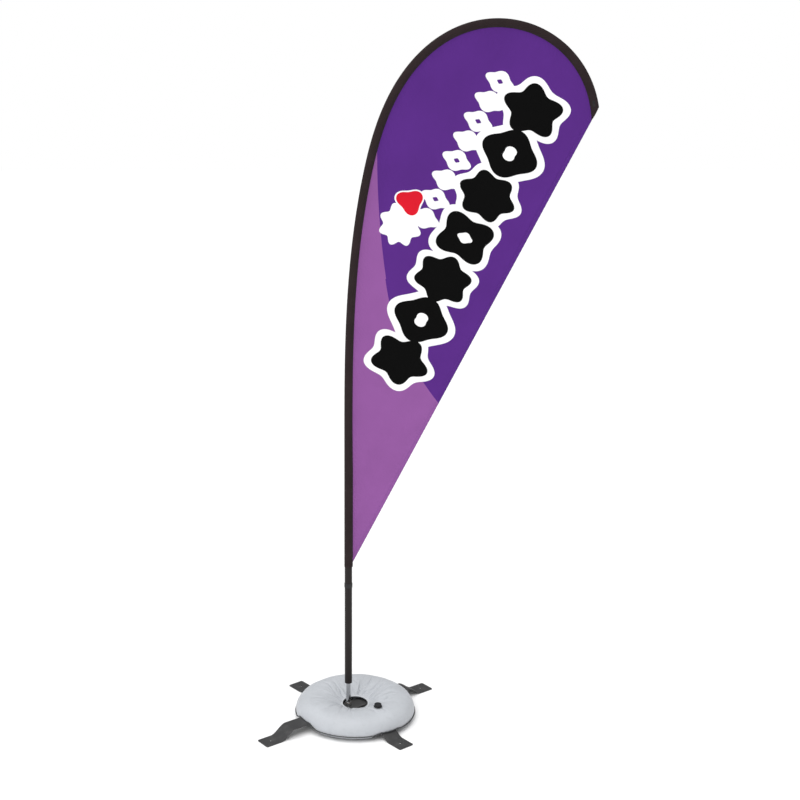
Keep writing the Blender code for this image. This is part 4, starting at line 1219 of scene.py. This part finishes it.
def vinylMaterial(name, colour, roughness):
    made, tree, shader = newMaterial(name, colour, roughness)
    place = objectPlace(tree)
    cloud = spread(tree, noiseOf(tree, place, vinylLook["cloudScale"], 5.0), 0.95, 1.03)
    scuffs = spread(tree, noiseOf(tree, place, vinylLook["scuffScale"], 6.0), 1.0, 0.95, 0.52, 0.72)
    tint = greyOf(tree, calculate(tree, "MULTIPLY", cloud, scuffs))
    height = addNode(tree, "ShaderNodeSeparateXYZ", i0=place).outputs[2]
    # painted shade near the floor, with soil: darker colour and more roughness low on the bag
    paintedShadeAndSoil = spread(tree, height, vinylLook["mostShadeAndSoil"], 0.0, 0.0, vinylLook["shadeAndSoilHeight"])
    patches = spread(tree, noiseOf(tree, place, vinylLook["shadeAndSoilPatchScale"], 5.0), 0.3, 1.0)
    paintedShadeAndSoil = calculate(tree, "MULTIPLY", paintedShadeAndSoil, patches)
    clean = mixColours(tree, 1.0, (*colour, 1), tint, "MULTIPLY")
    scrim = weaveHeight(tree, clothPlace(tree), vinylLook["scrimPitch"])
    fineCreases = noiseOf(tree, place, vinylLook["creaseScale"], 4.0)
    height = calculate(tree, "MULTIPLY_ADD", scrim, vinylLook["scrimShare"], fineCreases)
    rough = calculate(tree, "ADD", spread(tree, fineCreases, roughness - 0.06, roughness + 0.1), paintedShadeAndSoil)
    feed(tree, shader, Base_Color=mixColours(tree, paintedShadeAndSoil, clean, vinylLook["shadeAndSoilColour"]), Roughness=rough)
    addBump(tree, shader, height, vinylLook["creaseDepth"], 0.6)
    return made


# a closed line with its small ripples evened out
def smoothRound(line, reach=5):
    inner = line[:-1]
    mean = sum(np.roll(inner, shift, axis=0) for shift in range(-reach, reach + 1)) / (2 * reach + 1)
    return np.concatenate([mean, mean[:1]])


# a flat bead of half by tall round a closed line, leaning along across and up
def ringTube(name, line, across, up, half, tall, material):
    turns = np.linspace(0, 2 * math.pi, 13)
    points = (line[:, None] + across[:, None] * (half * np.cos(turns))[None, :, None]
              + up[:, None] * (tall * np.sin(turns))[None, :, None])
    flat = np.stack(np.broadcast_arrays(np.linspace(0, 1.63, len(line))[:, None], turns[None, :] * 0.003), -1)
    return gridObject(name, points, flat, material, 60)


finishes["vinyl"] = vinylMaterial("bag_vinyl", colours["vinyl"], 0.42)
# the welt round the hole is the bag's vinyl painted lighter: a painted highlight along its lip
finishes["weltPaintedHighlight"] = vinylMaterial("hole_welt_painted_highlight", (0.66, 0.68, 0.71), 0.42)
finishes["piping"] = vinylMaterial("bag_piping", (0.05, 0.052, 0.056), 0.5)
finishes["bagThread"] = clothMaterial("bag_thread", (0.12, 0.12, 0.125), 0.0006, 0.6, 0.1, place=objectPlace)
# the bag's seams: where on the section, half the width and height, lift off the wall
bagSeams = {
    "bag_outer_seam": {"name": "bag_piping_outer", "at": (0.2585, 0.022), "half": 0.0034, "tall": 0.0016,
                       "lift": 0.0020, "finish": "piping", "slot": "bag_piping"},
    # the inner welt's finish is the lighter vinyl, a painted highlight
    "bag_inner_seam": {"name": "bag_welt_inner", "at": (0.0547, 0.056), "half": 0.0026, "tall": 0.0020,
                       "lift": 0.0004, "finish": "weltPaintedHighlight", "slot": "bag_vinyl"},
}
bagStitch = {"spacing": 0.006, "length": 0.0045, "thickness": 0.0008}


def makeBag():
    points, normals, flat, section = bagPlaces()
    bag = gridObject("ring_water_bag", points, flat, finishes["vinyl"], 180)
    standFor(bag, "water_bag")
    upright = np.tile([0.0, 0.0, 1.0], (len(points), 1))
    pieces = [bag]
    for node, seam in bagSeams.items():
        column = int(np.argmin(np.abs(section - seam["at"]).sum(axis=1)))
        line = smoothRound(points[:, column] + normals[:, column] * seam["lift"])
        away = line - [bagShape["centre"], 0, 0]
        away[:, 2] = 0
        away /= np.linalg.norm(away, axis=1, keepdims=True)
        sizes = seam["half"], seam["tall"]
        bead = ringTube(seam["name"], line, away, upright, *sizes, finishes[seam["finish"]])
        pieces.append(standFor(bead, node))
        rows = [line + away * seam["half"] * 0.3 + upright * seam["tall"] * 0.92]
        pieces.append(makeStitches(seam["name"] + "_stitching", rows, "bag", finishes["bagThread"],
                                   seam["slot"], **bagStitch))
    for piece in pieces:
        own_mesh(piece)


makeBag()
print("water bag made")


# the filler's cap, ribbed round its side
capShape = {
    "wall": 0.0018,
    "roof": 0.0022,
    "recess": 0.0006,
    "ribs": 36,
    "ribDepth": 0.0005,
    "sides": 144,
}


def makeFillerCap():
    low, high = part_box("filler_cap")
    x, y, radius, top = (low.x + high.x) / 2, (low.y + high.y) / 2, (high.x - low.x) / 2, high.z
    inner, sunk, roof = radius - capShape["wall"], top - capShape["recess"], top - capShape["roof"]
    skirt = [(inner, low.z), (radius, low.z + 0.0003), (radius, top - 0.0012)]
    edge = [(radius - 0.0004, top - 0.0004), (radius - 0.0012, top)]
    lid = [(radius * 0.72, top), (radius * 0.70, sunk), (radius * 0.2, sunk), (0, sunk)]
    inside = [(0, roof), (inner, roof), (inner, low.z)]
    rows = []
    for angle in np.linspace(0, 2 * math.pi, capShape["sides"] + 1):
        rib = capShape["ribDepth"] * (0.5 + 0.5 * math.cos(angle * capShape["ribs"]))
        ribbed = [(r - rib * (r > radius - 0.0006), z) for r, z in skirt + edge + lid + inside]
        rows.append([(x + r * math.cos(angle), y + r * math.sin(angle), z) for r, z in ribbed])
    cap = gridObject("filler_cap_ribbed", np.array(rows), None, finishes["plastic"], 30)
    standFor(cap, "filler_cap")


makeFillerCap()
print("filler cap made")

makeCamera()
makeRoom()
makeLights()


def makeFloor():
    made, tree, shader = newMaterial("studio_floor", (lighting["floorShade"],) * 3, 0.9)
    feed(tree, shader, Specular_IOR_Level=0.1)
    reach = lighting["floorReach"]
    corners = [(-reach, -reach, 0), (reach, -reach, 0), (reach, reach, 0), (-reach, reach, 0)]
    mesh = bpy.data.meshes.new("studio_floor")
    mesh.from_pydata(corners, [], [(0, 1, 2, 3)])
    mesh.materials.append(made)
    newObject("studio_floor", mesh)


makeFloor()
print("camera, light and floor placed")
